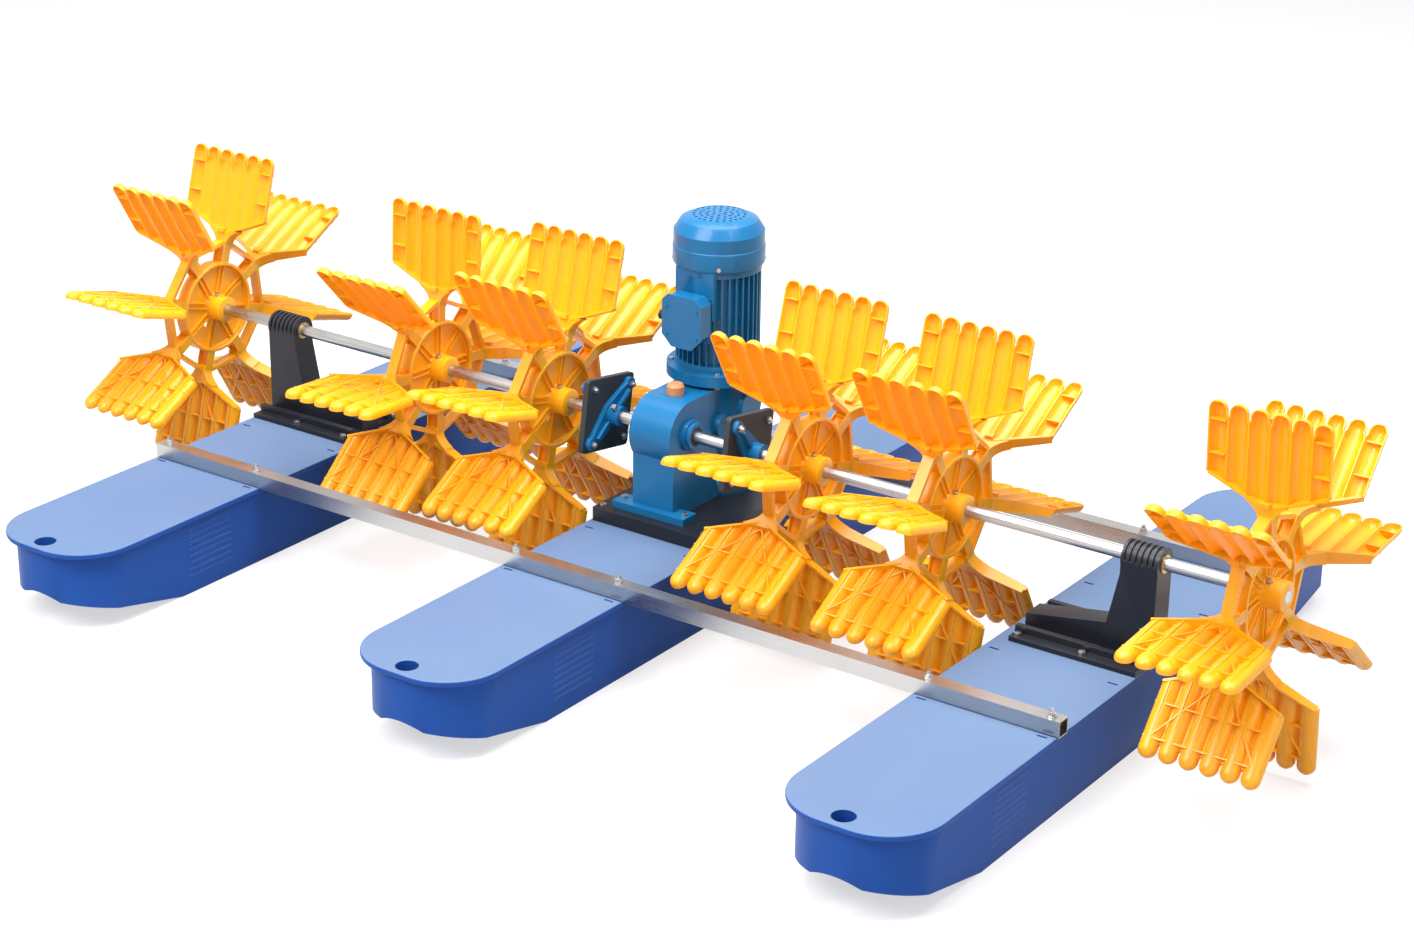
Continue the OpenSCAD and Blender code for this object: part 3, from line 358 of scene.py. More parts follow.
FINISHES: Dict[Slot, Finish] = {
    # The third colour of each finish lightens its edges: rubbed-edge wear and a painted edge highlight.
    Slot.FLOAT: Finish(
        "float_blue_moulding", (0.0104, 0.0667, 0.311), (0.0148, 0.0778, 0.341), (0.22, 0.31, 0.53),
        roughness=0.45, spread=0.12, wear_and_highlight=0.6, specular=0.14, blotch=3.0, grain=260.0, bump=0.04,
        # Paler deck colour: painted sheen of the light from above.
        top_sheen=(0.1185, 0.1815, 0.296)),
    Slot.BLACK: Finish(
        "black_moulding", (0.0067, 0.0081, 0.0126), (0.012, 0.0133, 0.0193), (0.067, 0.074, 0.096),
        roughness=0.4, spread=0.15, wear_and_highlight=0.45, specular=0.37, blotch=9.0, grain=420.0, bump=0.06),
    Slot.ENAMEL: Finish(
        "blue_enamel", (0.0044, 0.122, 0.296), (0.0067, 0.141, 0.326), (0.133, 0.311, 0.489),
        roughness=0.3, spread=0.08, wear_and_highlight=0.35, coat=0.08, specular=0.26, blotch=7.0, grain=60.0,
        bump=0.012),
    Slot.WHEEL: Finish(
        "wheel_yellow_moulding", (0.95, 0.39, 0.004), (0.97, 0.43, 0.007), (1.0, 0.55, 0.04),
        roughness=0.33, spread=0.08, subsurface=0.35, blotch=4.0, grain=120.0, bump=0.01),
    Slot.RUBBER: Finish(
        "coupling_rubber", (0.022, 0.027, 0.031), (0.033, 0.0385, 0.0445), (0.074, 0.081, 0.089),
        roughness=0.6, spread=0.15, specular=0.37, blotch=14.0, grain=350.0, bump=0.12),
    Slot.BUSH: Finish(
        "bush_bronze", (0.5, 0.33, 0.13), (0.56, 0.38, 0.17), (0.75, 0.6, 0.35),
        roughness=0.35, spread=0.15, metallic=1.0, grain=200.0),
    Slot.PLUG: Finish(
        "plug_orange", (0.53, 0.21, 0.085), (0.58, 0.25, 0.105), (0.67, 0.44, 0.3),
        roughness=0.45, spread=0.1, grain=300.0),
    Slot.MACHINED: Finish(
        "machined_steel", (0.42, 0.42, 0.43), (0.5, 0.5, 0.51), (0.7, 0.7, 0.7),
        roughness=0.35, spread=0.18, metallic=1.0, grain=220.0, bump=0.06),
    Slot.STAINLESS: Finish(
        "brushed_stainless", (0.45, 0.44, 0.43), (0.53, 0.52, 0.51), (0.85, 0.85, 0.86),
        roughness=0.3, spread=0.16, metallic=1.0, blotch=8.0, grain=600.0, run=Grain.ALONG_X)}


class Workshop:
    """Keeps the finishes and turns meshes into pieces of the object."""

    def __init__(self) -> None:
        """Build every finish once."""
        groups = Groups(make_surface_group(), make_edge_wear_and_highlight_group(), make_top_sheen_group())
        self.finish = {slot: f.build(groups) for slot, f in FINISHES.items()}
        self.slots = {s["node"]: Slot(s["material_slot"]) for s in frame["record"]["subparts"]}

    def piece(self, name: str, mesh: bmesh.types.BMesh, body: Body, slot: Slot,
              stands_for: Sequence[str] = ()) -> bpy.types.Object:
        """Turn a bmesh into a named piece on a body.

        Args:
            name: The piece's name.
            mesh: The shape, in the shared frame.
            body: What it moves with.
            slot: Its finish.
            stands_for: CAD nodes that it replaces.

        Returns:
            The new object.
        """
        data = bpy.data.meshes.new(name)
        mesh.to_mesh(data)
        mesh.free()
        made = bpy.data.objects.new(name, data)
        bpy.context.scene.collection.objects.link(made)
        data.materials.append(self.finish[slot])
        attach(made, body.value)
        if stands_for:
            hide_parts(*stands_for)
        LOG.info("piece %s on %s, %d faces", name, body.value, len(data.polygons))
        return made

    def dress(self, node: str) -> None:
        """Give a CAD node that stays its finish.

        Args:
            node: The node.
        """
        data = frame["nodes"][node].data
        data.materials.clear()
        data.materials.append(self.finish[self.slots[node]])

    def skin(self, node: str, body: Body, rounding: float, segments: int = 2, smooth: float = 32.0,
             form: Optional[Callable[[bmesh.types.BMesh], None]] = None) -> bpy.types.Object:
        """Stand in for a CAD node with a copy of it whose edges are rounded.

        Args:
            node: The node.
            body: What it moves with.
            rounding: Width of the rounded edge, in metres.
            segments: Steps of the rounding.
            smooth: Edges flatter than this, in degrees, are shaded smooth.
            form: Shapes the copy further before its edges are rounded.

        Returns:
            The new object.
        """
        shape = bmesh.new()
        shape.from_mesh(frame["nodes"][node].data)
        bmesh.ops.remove_doubles(shape, verts=shape.verts, dist=MERGE_DISTANCE)
        bmesh.ops.dissolve_limit(shape, angle_limit=FLAT_ANGLE, verts=shape.verts, edges=shape.edges)
        if form:
            form(shape)
        made = self.piece(node + "_skin", shape, body, self.slots[node], [node])
        self.soften(made, rounding, segments, smooth)
        return made

    def soften(self, made: bpy.types.Object, rounding: float, segments: int, smooth: float) -> None:
        """Shade a piece smooth and round its sharp edges.

        Args:
            made: The piece.
            rounding: Width of the rounded edge, in metres.
            segments: Steps of the rounding.
            smooth: Edges flatter than this, in degrees, are shaded smooth.
        """
        for polygon in made.data.polygons:
            polygon.use_smooth = True
        made.data.set_sharp_from_angle(angle=math.radians(smooth))
        bevel = made.modifiers.new("rounding", "BEVEL")
        bevel.width = rounding
        bevel.segments = segments
        bevel.limit_method = "ANGLE"
        bevel.angle_limit = math.radians(smooth)
        bevel.harden_normals = True
        bevel.use_clamp_overlap = True


@dataclass
class Photo:
    """The camera that took the photograph, as fitted to it."""

    place: Tuple[float, float, float] = (3.217, -4.489, 2.531)
    azimuth: float = 35.006
    elevation: float = 22.121
    roll: float = 0.763
    focal_pixels: float = 2932.0
    width_pixels: float = 1414.0
    sensor: float = 36.0
    view_end: float = 100.0

    def build(self) -> None:
        """Make the camera and set it as the scene's."""
        data = bpy.data.cameras.new("camera")
        data.sensor_fit = "HORIZONTAL"
        data.sensor_width = self.sensor
        data.lens = self.sensor * self.focal_pixels / self.width_pixels
        data.clip_end = self.view_end
        made = bpy.data.objects.new("camera", data)
        bpy.context.scene.collection.objects.link(made)
        a, e, r = (math.radians(x) for x in (self.azimuth, self.elevation, self.roll))
        back = Vector((math.sin(a) * math.cos(e), -math.cos(a) * math.cos(e), math.sin(e)))
        right = Vector((math.cos(a), math.sin(a), 0.0))
        up = back.cross(right)
        turned = right * math.cos(r) + up * math.sin(r)
        upright = up * math.cos(r) - right * math.sin(r)
        made.matrix_world = Matrix.Translation(self.place) @ Matrix(
            [[turned[i], upright[i], back[i], 0] for i in range(3)] + [[0, 0, 0, 1]])
        bpy.context.scene.camera = made


@dataclass(frozen=True)
class Lamp:
    """One soft lamp of the studio."""

    name: str
    place: Vector
    size: float
    power: float


@dataclass
class Studio:
    """The pale floor, the white surroundings and the lamps."""

    floor_size: float = 60.0
    floor_colour: Colour = (0.37, 0.37, 0.38)
    floor_roughness: float = 0.9
    floor_glow: float = 0.6
    world_light: float = 0.3
    aim: Tuple[float, float, float] = (0.0, 0.0, 0.3)
    lamps: List[Lamp] = field(default_factory=lambda: [
        Lamp("key", Vector((-1.6, -4.9, 5.5)), 3.5, 440.0),
        Lamp("top", Vector((0.3, 0.2, 5.0)), 5.0, 560.0),
        Lamp("fill", Vector((5.0, -3.0, 3.0)), 4.0, 81.0)])

    def build(self) -> None:
        """Make floor, world and lamps."""
        self.floor()
        self.world()
        for lamp in self.lamps:
            data = bpy.data.lights.new(lamp.name, "AREA")
            data.size = lamp.size
            data.energy = lamp.power
            made = bpy.data.objects.new(lamp.name, data)
            bpy.context.scene.collection.objects.link(made)
            made.location = lamp.place
            made.rotation_mode = "QUATERNION"
            made.rotation_quaternion = (Vector(self.aim) - lamp.place).to_track_quat("-Z", "Y")
        bpy.context.scene.view_settings.view_transform = "Standard"

    def rays(self, tree: bpy.types.NodeTree) -> bpy.types.NodeSocket:
        """Make the mask of rays that see the background as white.

        Args:
            tree: The node tree.

        Returns:
            The mask's socket.
        """
        path = tree.nodes.new("ShaderNodeLightPath")
        seen, mask = math_node(tree, "MAXIMUM"), math_node(tree, "MAXIMUM")
        tree.links.new(path.outputs["Is Camera Ray"], seen.inputs[0])
        tree.links.new(path.outputs["Is Glossy Ray"], seen.inputs[1])
        tree.links.new(seen.outputs[0], mask.inputs[0])
        tree.links.new(path.outputs["Is Transmission Ray"], mask.inputs[1])
        return mask.outputs[0]

    def floor(self) -> None:
        """Make the pale floor, which keeps the object's shadow."""
        shape = bmesh.new()
        bmesh.ops.create_grid(shape, x_segments=1, y_segments=1, size=self.floor_size / 2)
        data = bpy.data.meshes.new("floor")
        shape.to_mesh(data)
        shape.free()
        made = bpy.data.objects.new("floor", data)
        bpy.context.scene.collection.objects.link(made)
        paint = bpy.data.materials.new("pale_floor")
        paint.use_nodes = True
        tree = paint.node_tree
        shader = tree.nodes["Principled BSDF"]
        shader.inputs["Base Color"].default_value = (*self.floor_colour, 1)
        shader.inputs["Roughness"].default_value = self.floor_roughness
        shader.inputs["Emission Color"].default_value = (1, 1, 1, 1)
        glow = math_node(tree, "MULTIPLY")
        glow.inputs[1].default_value = self.floor_glow
        tree.links.new(self.rays(tree), glow.inputs[0])
        tree.links.new(glow.outputs[0], shader.inputs["Emission Strength"])
        data.materials.append(paint)

    def world(self) -> None:
        """Make the surroundings: white to the camera, softer as light."""
        world = bpy.data.worlds.new("studio")
        bpy.context.scene.world = world
        world.use_nodes = True
        tree = world.node_tree
        background = tree.nodes["Background"]
        background.inputs["Color"].default_value = (1, 1, 1, 1)
        span = tree.nodes.new("ShaderNodeMapRange")
        span.inputs["To Min"].default_value = self.world_light
        span.inputs["To Max"].default_value = 1.0
        tree.links.new(self.rays(tree), span.inputs["Value"])
        tree.links.new(span.outputs["Result"], background.inputs["Strength"])


@dataclass
class Floats:
    """The three blue floats, each with a ribbed patch on its side."""

    middle: Dict[str, float] = field(default_factory=lambda: {
        "left_float": -950 * MM, "centre_float": 0.0, "right_float": 950 * MM})
    rounding: float = 1.5 * MM
    smooth: float = 20.0
    deck: float = 175 * MM
    half_width: float = 148 * MM
    nose_start: float = 762 * MM
    nose_round: float = 118 * MM
    lip: float = 15 * MM
    lip_shown: float = 11 * MM
    deck_round: float = 7 * MM
    lip_round: float = 3 * MM
    rim_fold: float = 60.0
    rim_slack: float = 1 * MM
    level_slack: float = 0.2 * MM
    bottom_half_width: float = 130 * MM
    lean: float = 9.0 / 175.0
    patch_start: float = -580 * MM
    patch_end: float = -460 * MM
    patch_round: float = 1.2 * MM
    patch_smooth: float = 30.0
    rib_low: float = 38 * MM
    rib_step: float = 15 * MM
    rib_count: int = 8
    rib_size: Tuple[float, float] = (2 * MM, 6 * MM)

    def build(self, shop: Workshop) -> None:
        """Round the floats' edges and add their patches.

        Args:
            shop: The workshop.
        """
        for node, x in self.middle.items():
            shop.skin(node, Body.FRAME, self.rounding, smooth=self.smooth,
                      form=lambda shape: self.soft_lip(shape, x))
            patch = shop.piece(node + "_ribs", self.patch(x), Body.FRAME, Slot.FLOAT)
            shop.soften(patch, self.patch_round, 2, self.patch_smooth)

    def soft_lip(self, shape: bmesh.types.BMesh, middle: float) -> None:
        """Thin the lip and round its two outer edges.

        Args:
            shape: Copy of the float.
            middle: The float's place across.
        """
        under = self.deck - self.lip
        thin = [v for v in shape.verts if abs(v.co.z - under) < self.level_slack]
        bmesh.ops.translate(shape, verts=thin, vec=(0, 0, self.lip - self.lip_shown))
        for level, size in ((self.deck, self.deck_round), (self.deck - self.lip_shown, self.lip_round)):
            rim = [e for e in shape.edges if all(abs(v.co.z - level) < self.level_slack for v in e.verts)
                   and len(e.link_faces) == 2 and e.calc_face_angle(0) > math.radians(self.rim_fold)
                   and all(self.on_rim(v.co.x - middle, abs(v.co.y)) for v in e.verts)]
            bmesh.ops.bevel(shape, geom=rim, offset=size, segments=4, affect="EDGES", profile=0.5,
                            material=-1, clamp_overlap=True)

    def on_rim(self, x: float, y: float) -> bool:
        """Tell whether a place on the deck is on its outer edge.

        Args:
            x: Its distance from the float's middle line.
            y: Its distance from the float's middle, along it.

        Returns:
            True on the edge.
        """
        corner = abs(x) - self.half_width + self.nose_round
        nose = math.hypot(max(0.0, corner), max(0.0, y - self.nose_start))
        on_nose = y > self.nose_start - self.rim_slack and nose > self.nose_round - self.rim_slack
        return abs(x) > self.half_width - self.rim_slack or on_nose

    def patch(self, middle: float) -> bmesh.types.BMesh:
        """Make the low ribs moulded into a float's side.

        Args:
            middle: The float's place across.

        Returns:
            The ribs.
        """
        shape = bmesh.new()
        length = self.patch_end - self.patch_start
        for i in range(self.rib_count):
            z = self.rib_low + i * self.rib_step
            verts = bmesh.ops.create_cube(shape, size=1.0)["verts"]
            bmesh.ops.scale(shape, verts=verts, vec=(self.rib_size[0], length, self.rib_size[1]))
            x = middle + self.bottom_half_width + self.lean * z
            bmesh.ops.translate(shape, verts=verts, vec=(x, (self.patch_start + self.patch_end) / 2, z))
        return shape


@dataclass
class Carriage:
    """Cross tubes, bearing stands and motor base with their fasteners."""

    mouldings: Tuple[str, ...] = ("left_bearing_stand", "right_bearing_stand", "motor_base")
    tubes: Tuple[str, ...] = ("front_cross_tube", "rear_cross_tube")
    fasteners: Tuple[str, ...] = ("tube_bolts", "stand_bolts", "motor_base_bolts")
    bushes: Tuple[str, ...] = ("left_bearing_bush", "right_bearing_bush")
    moulding_round: float = 1.8 * MM
    tube_round: float = 2.2 * MM

    def build(self, shop: Workshop) -> None:
        """Round the mouldings, tubes and fasteners, and dress the bushes.

        Args:
            shop: The workshop.
        """
        for node in self.mouldings:
            shop.skin(node, Body.FRAME, self.moulding_round)
        for node in self.tubes:
            shop.skin(node, Body.FRAME, self.tube_round, segments=3)
        for node in self.fasteners:
            shop.skin(node, Body.FRAME, FASTENER_ROUND)
        for node in self.bushes:
            shop.dress(node)


@dataclass
class GearMotor:
    """Gearbox and motor castings with their fasteners.

    The band is the fan cover's lower edge in outline, as radius and height in millimetres.
    """

    castings: Tuple[str, ...] = (
        "gearbox_housing", "gearbox_cover", "motor_flange", "terminal_box", "terminal_box_lid")
    sheet: Tuple[str, ...] = ("fan_cover", "motor_end_shield")
    fasteners: Tuple[str, ...] = ("gearbox_screws", "motor_flange_bolts", "oil_plug", "cable_gland")
    inside: Tuple[str, ...] = (
        "output_bearings", "output_seals", "countershaft_bearings", "idler_pin", "motor_bearings",
        "stator_core")
    axis: Tuple[float, float] = (-20 * MM, 165 * MM)
    band: Tuple[Tuple[float, float], ...] = (
        (92.6, 728.5), (93.6, 728.0), (94.4, 726.5), (94.6, 724.5), (94.6, 694.0), (94.1, 691.6),
        (92.6, 691.0))
    band_steps: int = 96
    lid_side: float = 45 * MM
    casting_round: float = 2.0 * MM
    fin_round: float = 0.7 * MM
    sheet_round: float = 1.0 * MM
    band_round: float = 0.3 * MM
    band_smooth: float = 40.0

    def build(self, shop: Workshop) -> None:
        """Round the castings, sheet parts and fasteners, and dress what is inside.

        Args:
            shop: The workshop.
        """
        for node in self.castings:
            shop.skin(node, Body.FRAME, self.casting_round)
        shop.skin("motor_frame", Body.FRAME, self.fin_round)
        for node in self.sheet:
            shop.skin(node, Body.FRAME, self.sheet_round)
        for node in self.fasteners:
            shop.skin(node, Body.FRAME, FASTENER_ROUND)
        for node in self.inside:
            shop.dress(node)
        self.screws(shop)
        band = shop.piece("fan_cover_band", self.cover_band(), Body.FRAME, Slot.ENAMEL)
        shop.soften(band, self.band_round, 1, self.band_smooth)

    def screws(self, shop: Workshop) -> None:
        """Round the motor's screws; the ones in the terminal box lid are painted over.

        Args:
            shop: The workshop.
        """
        made = shop.skin("motor_screws", Body.FRAME, FASTENER_ROUND)
        made.data.materials.append(shop.finish[Slot.ENAMEL])
        for polygon in made.data.polygons:
            if polygon.center.y < self.lid_side:
                polygon.material_index = 1

    def cover_band(self) -> bmesh.types.BMesh:
        """Turn the wider lower band of the fan cover.

        Returns:
            The band.
        """
        shape = bmesh.new()
        x, y = self.axis
        verts = [shape.verts.new((x + r * MM, y, z * MM)) for r, z in self.band]
        edges = [shape.edges.new((verts[i - 1], verts[i])) for i in range(len(verts))]
        bmesh.ops.spin(shape, geom=verts + edges, cent=(x, y, 0), axis=(0, 0, 1), angle=2 * math.pi,
                       steps=self.band_steps, use_merge=True)
        bmesh.ops.recalc_face_normals(shape, faces=shape.faces)
        return shape


@dataclass
class GearTrain:
    """The wheels and shafts inside the gearbox and the motor."""

    pieces: Tuple[str, ...] = (
        "output_gear", "idler_gear", "countershaft", "bevel_gear", "rotor_shaft", "rotor_core",
        "bevel_pinion", "cooling_fan")

    def build(self, shop: Workshop) -> None:
        """Dress the gears and shafts."""
        for node in self.pieces:
            shop.dress(node)


@dataclass
class ShaftLine:
    """Shafts and rubber couplings."""

    shafts: Tuple[str, ...] = ("output_shaft", "left_paddle_shaft", "right_paddle_shaft")
    flanges: Tuple[str, ...] = (
        "left_drive_flange", "right_drive_flange", "left_shaft_flange", "right_shaft_flange")
    plates: Tuple[str, ...] = ("left_rubber_plate", "right_rubber_plate")
    fasteners: Tuple[str, ...] = ("coupling_bolts", "wheel_set_screws")
    shaft_round: float = 1.0 * MM
    flange_round: float = 1.6 * MM
    plate_round: float = 1.2 * MM

    def build(self, shop: Workshop) -> None:
        """Round the shaft ends, flanges, plates and fasteners.

        Args:
            shop: The workshop.
        """
        for nodes, rounding in ((self.shafts, self.shaft_round), (self.flanges, self.flange_round),
                                (self.plates, self.plate_round), (self.fasteners, FASTENER_ROUND)):
            for node in nodes:
                shop.skin(node, Body.PADDLE_LINE, rounding)


@dataclass
class PaddleWheels:
    """The six yellow wheels: vanes of half-round fingers, hollow in front and ribbed behind.

    Places give each wheel's distance along the shaft, its turn in degrees and the sector that its
    web hole is in. The outlines of the hub's foot and of the rim ring are distance from the web's
    middle and radius, in millimetres; that of the boss's end is distance back from the end and radius.
    """

    places: Dict[str, Tuple[float, float, int]] = field(default_factory=lambda: {
        "left_outer_wheel": (-1291 * MM, -16.0, 3), "left_middle_wheel": (-637 * MM, -3.0, 3),
        "left_inner_wheel": (-315 * MM, -14.5, 3), "right_inner_wheel": (315 * MM, -16.0, -2),
        "right_middle_wheel": (637 * MM, -15.3, -2), "right_outer_wheel": (1291 * MM, 4.5, -2)})
    shaft_z: float = 371 * MM
    radius: float = 353 * MM
    width: float = 237 * MM
    vanes: int = 8
    rounding: float = 0.7 * MM
    smooth: float = 38.0
    # Fingers
    fingers: int = 6
    gap: float = 4 * MM
    notch: float = 30 * MM
    side_start: float = 213 * MM
    open_side: float = -9 * MM
    trough: float = 14 * MM
    knob: float = 14.5 * MM
    deepen_start: float = 80 * MM
    deepen_run: float = 55 * MM
    trough_power: float = 0.6
    sheet: float = 3.5 * MM
    valley: float = 5 * MM
    free_rim: float = 3 * MM
    shared_rim: float = 1.3 * MM
    across: int = 10
    body_rows: int = 11
    tip_rows: int = 11
    # Ribs, ledges, webs and walls of a vane
    rib: float = 3 * MM
    rib_sink: float = 2.2 * MM
    rib_rise: float = 2.5 * MM
    rib_end: float = 24 * MM
    rib_slope: float = 2 * MM
    brace_inset: float = 8 * MM
    brace_rise: float = 1 * MM
    ledges: Tuple[float, float] = (37 * MM, 103 * MM)
    ledge_inset: float = 1 * MM
    web_rows: Tuple[float, float] = (6 * MM, 72 * MM)
    web_wide: float = 14 * MM
    web_narrow: float = 2.5 * MM
    web_sink: float = 0.5 * MM
    wall_depth: float = 27 * MM
    wall_half: float = 2.5 * MM
    wall_slope: float = 9 * MM
    wall_start: float = 6 * MM
    wall_end: Tuple[float, float] = (4 * MM, 1.5 * MM)
    wall_front: float = 1 * MM
    # Arm, neck and strut
    neck: float = 168 * MM
    neck_half: float = 15 * MM
    arm_half: float = 14 * MM
    arm_plate: float = 4 * MM
    arm_foot: float = 94 * MM
    flange_place: float = 13.2 * MM
    flange_half: float = 11 * MM
    flange_span: Tuple[float, float] = (96 * MM, 150 * MM)
    hook_half: float = 9 * MM
    hook_depth: Tuple[float, float] = (-7 * MM, 4 * MM)
    hook_span: Tuple[float, float] = (2 * MM, 11 * MM)
    spoke_half: float = 8 * MM
    spoke_place: float = 6 * MM
    spoke_span: Tuple[float, float] = (26 * MM, 97 * MM)
    strut_half: float = 12 * MM
    strut_reach: float = 57 * MM
    strut_span: Tuple[float, float] = (134 * MM, 143 * MM)
    flare: float = 28 * MM
    flare_drop: float = 34 * MM
    flare_rise: float = 42 * MM
    flare_power: float = 2.6
    flare_inset: float = 2 * MM
    # Hub
    steps: int = 64
    boss: float = 24 * MM
    boss_radius: float = 29 * MM
    boss_round: float = 3 * MM
    long_boss: float = 42 * MM
    end_boss: float = 48 * MM
    web_half: float = 1.8 * MM
    hole_radius: float = 7.5 * MM
    hole_reach: float = 44 * MM
    rim_start: float = 92 * MM
    boss_end: Tuple[Tuple[float, float], ...] = ((0.0, 12.6), (0.0, 26.0), (2.0, 28.6))
    hub_foot: Tuple[Tuple[float, float], ...] = ((10.0, 29.4), (5.0, 31.0), (2.2, 34.5))
    rim_ring: Tuple[Tuple[float, float], ...] = (
        (4.5, 95.0), (14.5, 95.2), (16.0, 96.6), (16.0, 101.6), (14.6, 103.0))

    @property
    def pitch(self) -> float:
        """Distance from finger to finger."""
        return (self.width + self.gap) / self.fingers

    @property
    def finger_r(self) -> float:
        """Radius of a finger tip."""
        return (self.pitch - self.gap) / 2

    @property
    def root(self) -> float:
        """Radius at which the fingers part."""
        return self.radius - self.notch

    @property
    def crest(self) -> float:
        """Height of the sheet's back over a trough."""
        return self.open_side + self.trough + self.sheet

    def build(self, shop: Workshop) -> None:
        """Mould one wheel and set it at the six places.

        Args:
            shop: The workshop.
        """
        moulding = self.moulding()
        reach = max(x for x, _, _ in self.places.values())
        step = 360.0 / self.vanes
        for node, (x, turn, sector) in self.places.items():
            shape = moulding.copy()
            for s in (-1, 1):
                self.lengthen_boss(shape, s, self.end_boss if s * x == reach else self.long_boss)
            turned = Matrix.Rotation(math.radians(sector * step + turn), 3, "X")
            bmesh.ops.rotate(shape, verts=shape.verts, cent=(0, 0, 0), matrix=turned)
            bmesh.ops.translate(shape, verts=shape.verts, vec=(x, 0, self.shaft_z))
            made = shop.piece(node + "_moulding", shape, Body.PADDLE_LINE, Slot.WHEEL, [node])
            shop.soften(made, self.rounding, 1, self.smooth)
        moulding.free()

    def moulding(self) -> bmesh.types.BMesh:
        """Make one wheel about the X axis, with its first vane along Z.

        Returns:
            The wheel.
        """
        shape = bmesh.new()
        self.sheet_with_fingers(shape)
        self.vane_ribs(shape)
        self.vane_walls(shape)
        self.arm(shape)
        first = list(shape.verts) + list(shape.edges) + list(shape.faces)
        for k in range(1, self.vanes):
            made = bmesh.ops.duplicate(shape, geom=first)["geom"]
            verts = [v for v in made if isinstance(v, bmesh.types.BMVert)]
            turned = Matrix.Rotation(k * 2 * math.pi / self.vanes, 3, "X")
            bmesh.ops.rotate(shape, verts=verts, cent=(0, 0, 0), matrix=turned)
        self.hub(shape)
        return shape

    def lengthen_boss(self, shape: bmesh.types.BMesh, s: int, length: float) -> None:
        """Draw one end of a wheel's boss out along the shaft.

        Args:
            shape: The wheel.
            s: Side, -1 or 1.
            length: The end's distance from the web.
        """
        end = [v for v in shape.verts
               if v.co.yz.length < self.boss_radius and s * v.co.x > self.boss - self.boss_round]
        bmesh.ops.translate(shape, verts=end, vec=(s * (length - self.boss), 0, 0))

    def lower_edge(self, x: float) -> float:
        """Height of the vane's oblique lower edge at a place across it."""
        rise = (self.side_start - self.neck) / (self.width / 2 - self.neck_half)
        return self.neck + max(0.0, abs(x) - self.neck_half) * rise

    def finger_place(self, i: int) -> float:
        """Middle of a finger across the vane."""
        return (i - (self.fingers - 1) / 2) * self.pitch

    def depth(self, z: float) -> float:
        """Depth of the troughs at a radius: they deepen towards the tips."""
        rise = min(1.0, max(0.0, (z - self.radius + self.deepen_start) / self.deepen_run))
        return self.trough + (self.knob - self.trough) * rise * rise * (3 - 2 * rise)

    def sheet_with_fingers(self, shape: bmesh.types.BMesh) -> None:
        """Make the vane's sheet: its front is drawn finger by finger, and its back follows.

        Args:
            shape: The mesh to add to.
        """
        behind = shape.verts.layers.float.new("behind")
        for i in range(self.fingers):
            self.finger(shape, behind, i)
        bmesh.ops.remove_doubles(shape, verts=shape.verts, dist=0.05 * MM)
        made = bmesh.ops.extrude_face_region(shape, geom=shape.faces, use_keep_orig=True)["geom"]
        for v in made:
            if isinstance(v, bmesh.types.BMVert):
                v.co.y = v[behind]
        shape.verts.layers.float.remove(behind)
        bmesh.ops.recalc_face_normals(shape, faces=shape.faces)

    def finger(self, shape: bmesh.types.BMesh, behind: bmesh.types.BMLayerItem, i: int) -> None:
        """Shape one finger's front from a grid and note the place of its back.

        Args:
            shape: The mesh to add to.
            behind: Layer that takes the place of the back.
            i: Number of the finger.
        """
        rows = self.body_rows + self.tip_rows
        grid = bmesh.ops.create_grid(shape, x_segments=self.across, y_segments=rows, size=1.0)["verts"]
        centre, tip = self.finger_place(i), self.radius - self.finger_r
        for v in grid:
            a, row = v.co.x, round((v.co.y + 1) / 2 * rows)
            b = min(1.0, abs(a) * self.across / (self.across - 2))
            side = math.copysign(1.0, a)
            free = row > self.body_rows or abs(centre + side * self.pitch) > self.width / 2
            half, rim = (self.finger_r, self.free_rim) if free else (self.pitch / 2, self.shared_rim)
            along = (row - self.body_rows) / self.tip_rows
            z = self.root + self.notch * math.sin(max(0.0, along) * math.pi / 2)
            beyond = max(0.0, z - tip)
            half = math.sqrt(max(0.0, half ** 2 - beyond ** 2)) if beyond else half
            x = centre + side * (half if abs(a) > 0.999 else max(0.0, half - rim) * b)
            if row <= self.body_rows:
                low = self.lower_edge(x)
                z = low + (self.root - low) * row / self.body_rows
            bowl = math.sqrt(max(0.0, 1 - (beyond / (self.finger_r - self.free_rim)) ** 2))
            y = self.open_side + self.depth(z) * bowl * (1 - b ** 2) ** self.trough_power
            out = min(1.0, math.hypot(x - centre, beyond) / self.finger_r)
            dome = self.valley + (self.depth(z) + self.sheet - self.valley) * math.sqrt(1 - out ** 2)
            v.co = (x, y, z)
            v[behind] = self.open_side + dome

    def bar(self, shape: bmesh.types.BMesh, low: Tuple[float, float, float],
            high: Tuple[float, float, float]) -> List[bmesh.types.BMVert]:
        """Make a bar from its two corners.

        Args:
            shape: The mesh to add to.
            low: Lowest corner.
            high: Highest corner.

        Returns:
            The bar's vertices.
        """
        verts = bmesh.ops.create_cube(shape, size=1.0)["verts"]
        bmesh.ops.scale(shape, verts=verts, vec=[h - l for l, h in zip(low, high)])
        bmesh.ops.translate(shape, verts=verts, vec=[(l + h) / 2 for l, h in zip(low, high)])
        return verts

    def lower_crest(self, verts: Sequence[bmesh.types.BMVert], drop: float) -> None:
        """Slope a bar's back down towards its outer end.

        Args:
            verts: The bar's vertices.
            drop: How far the end comes down.
        """
        end, crest = max(v.co.z for v in verts), max(v.co.y for v in verts)
        for v in verts:
            if v.co.z > end - 1 * MM and v.co.y > crest - 1 * MM:
                v.co.y -= drop

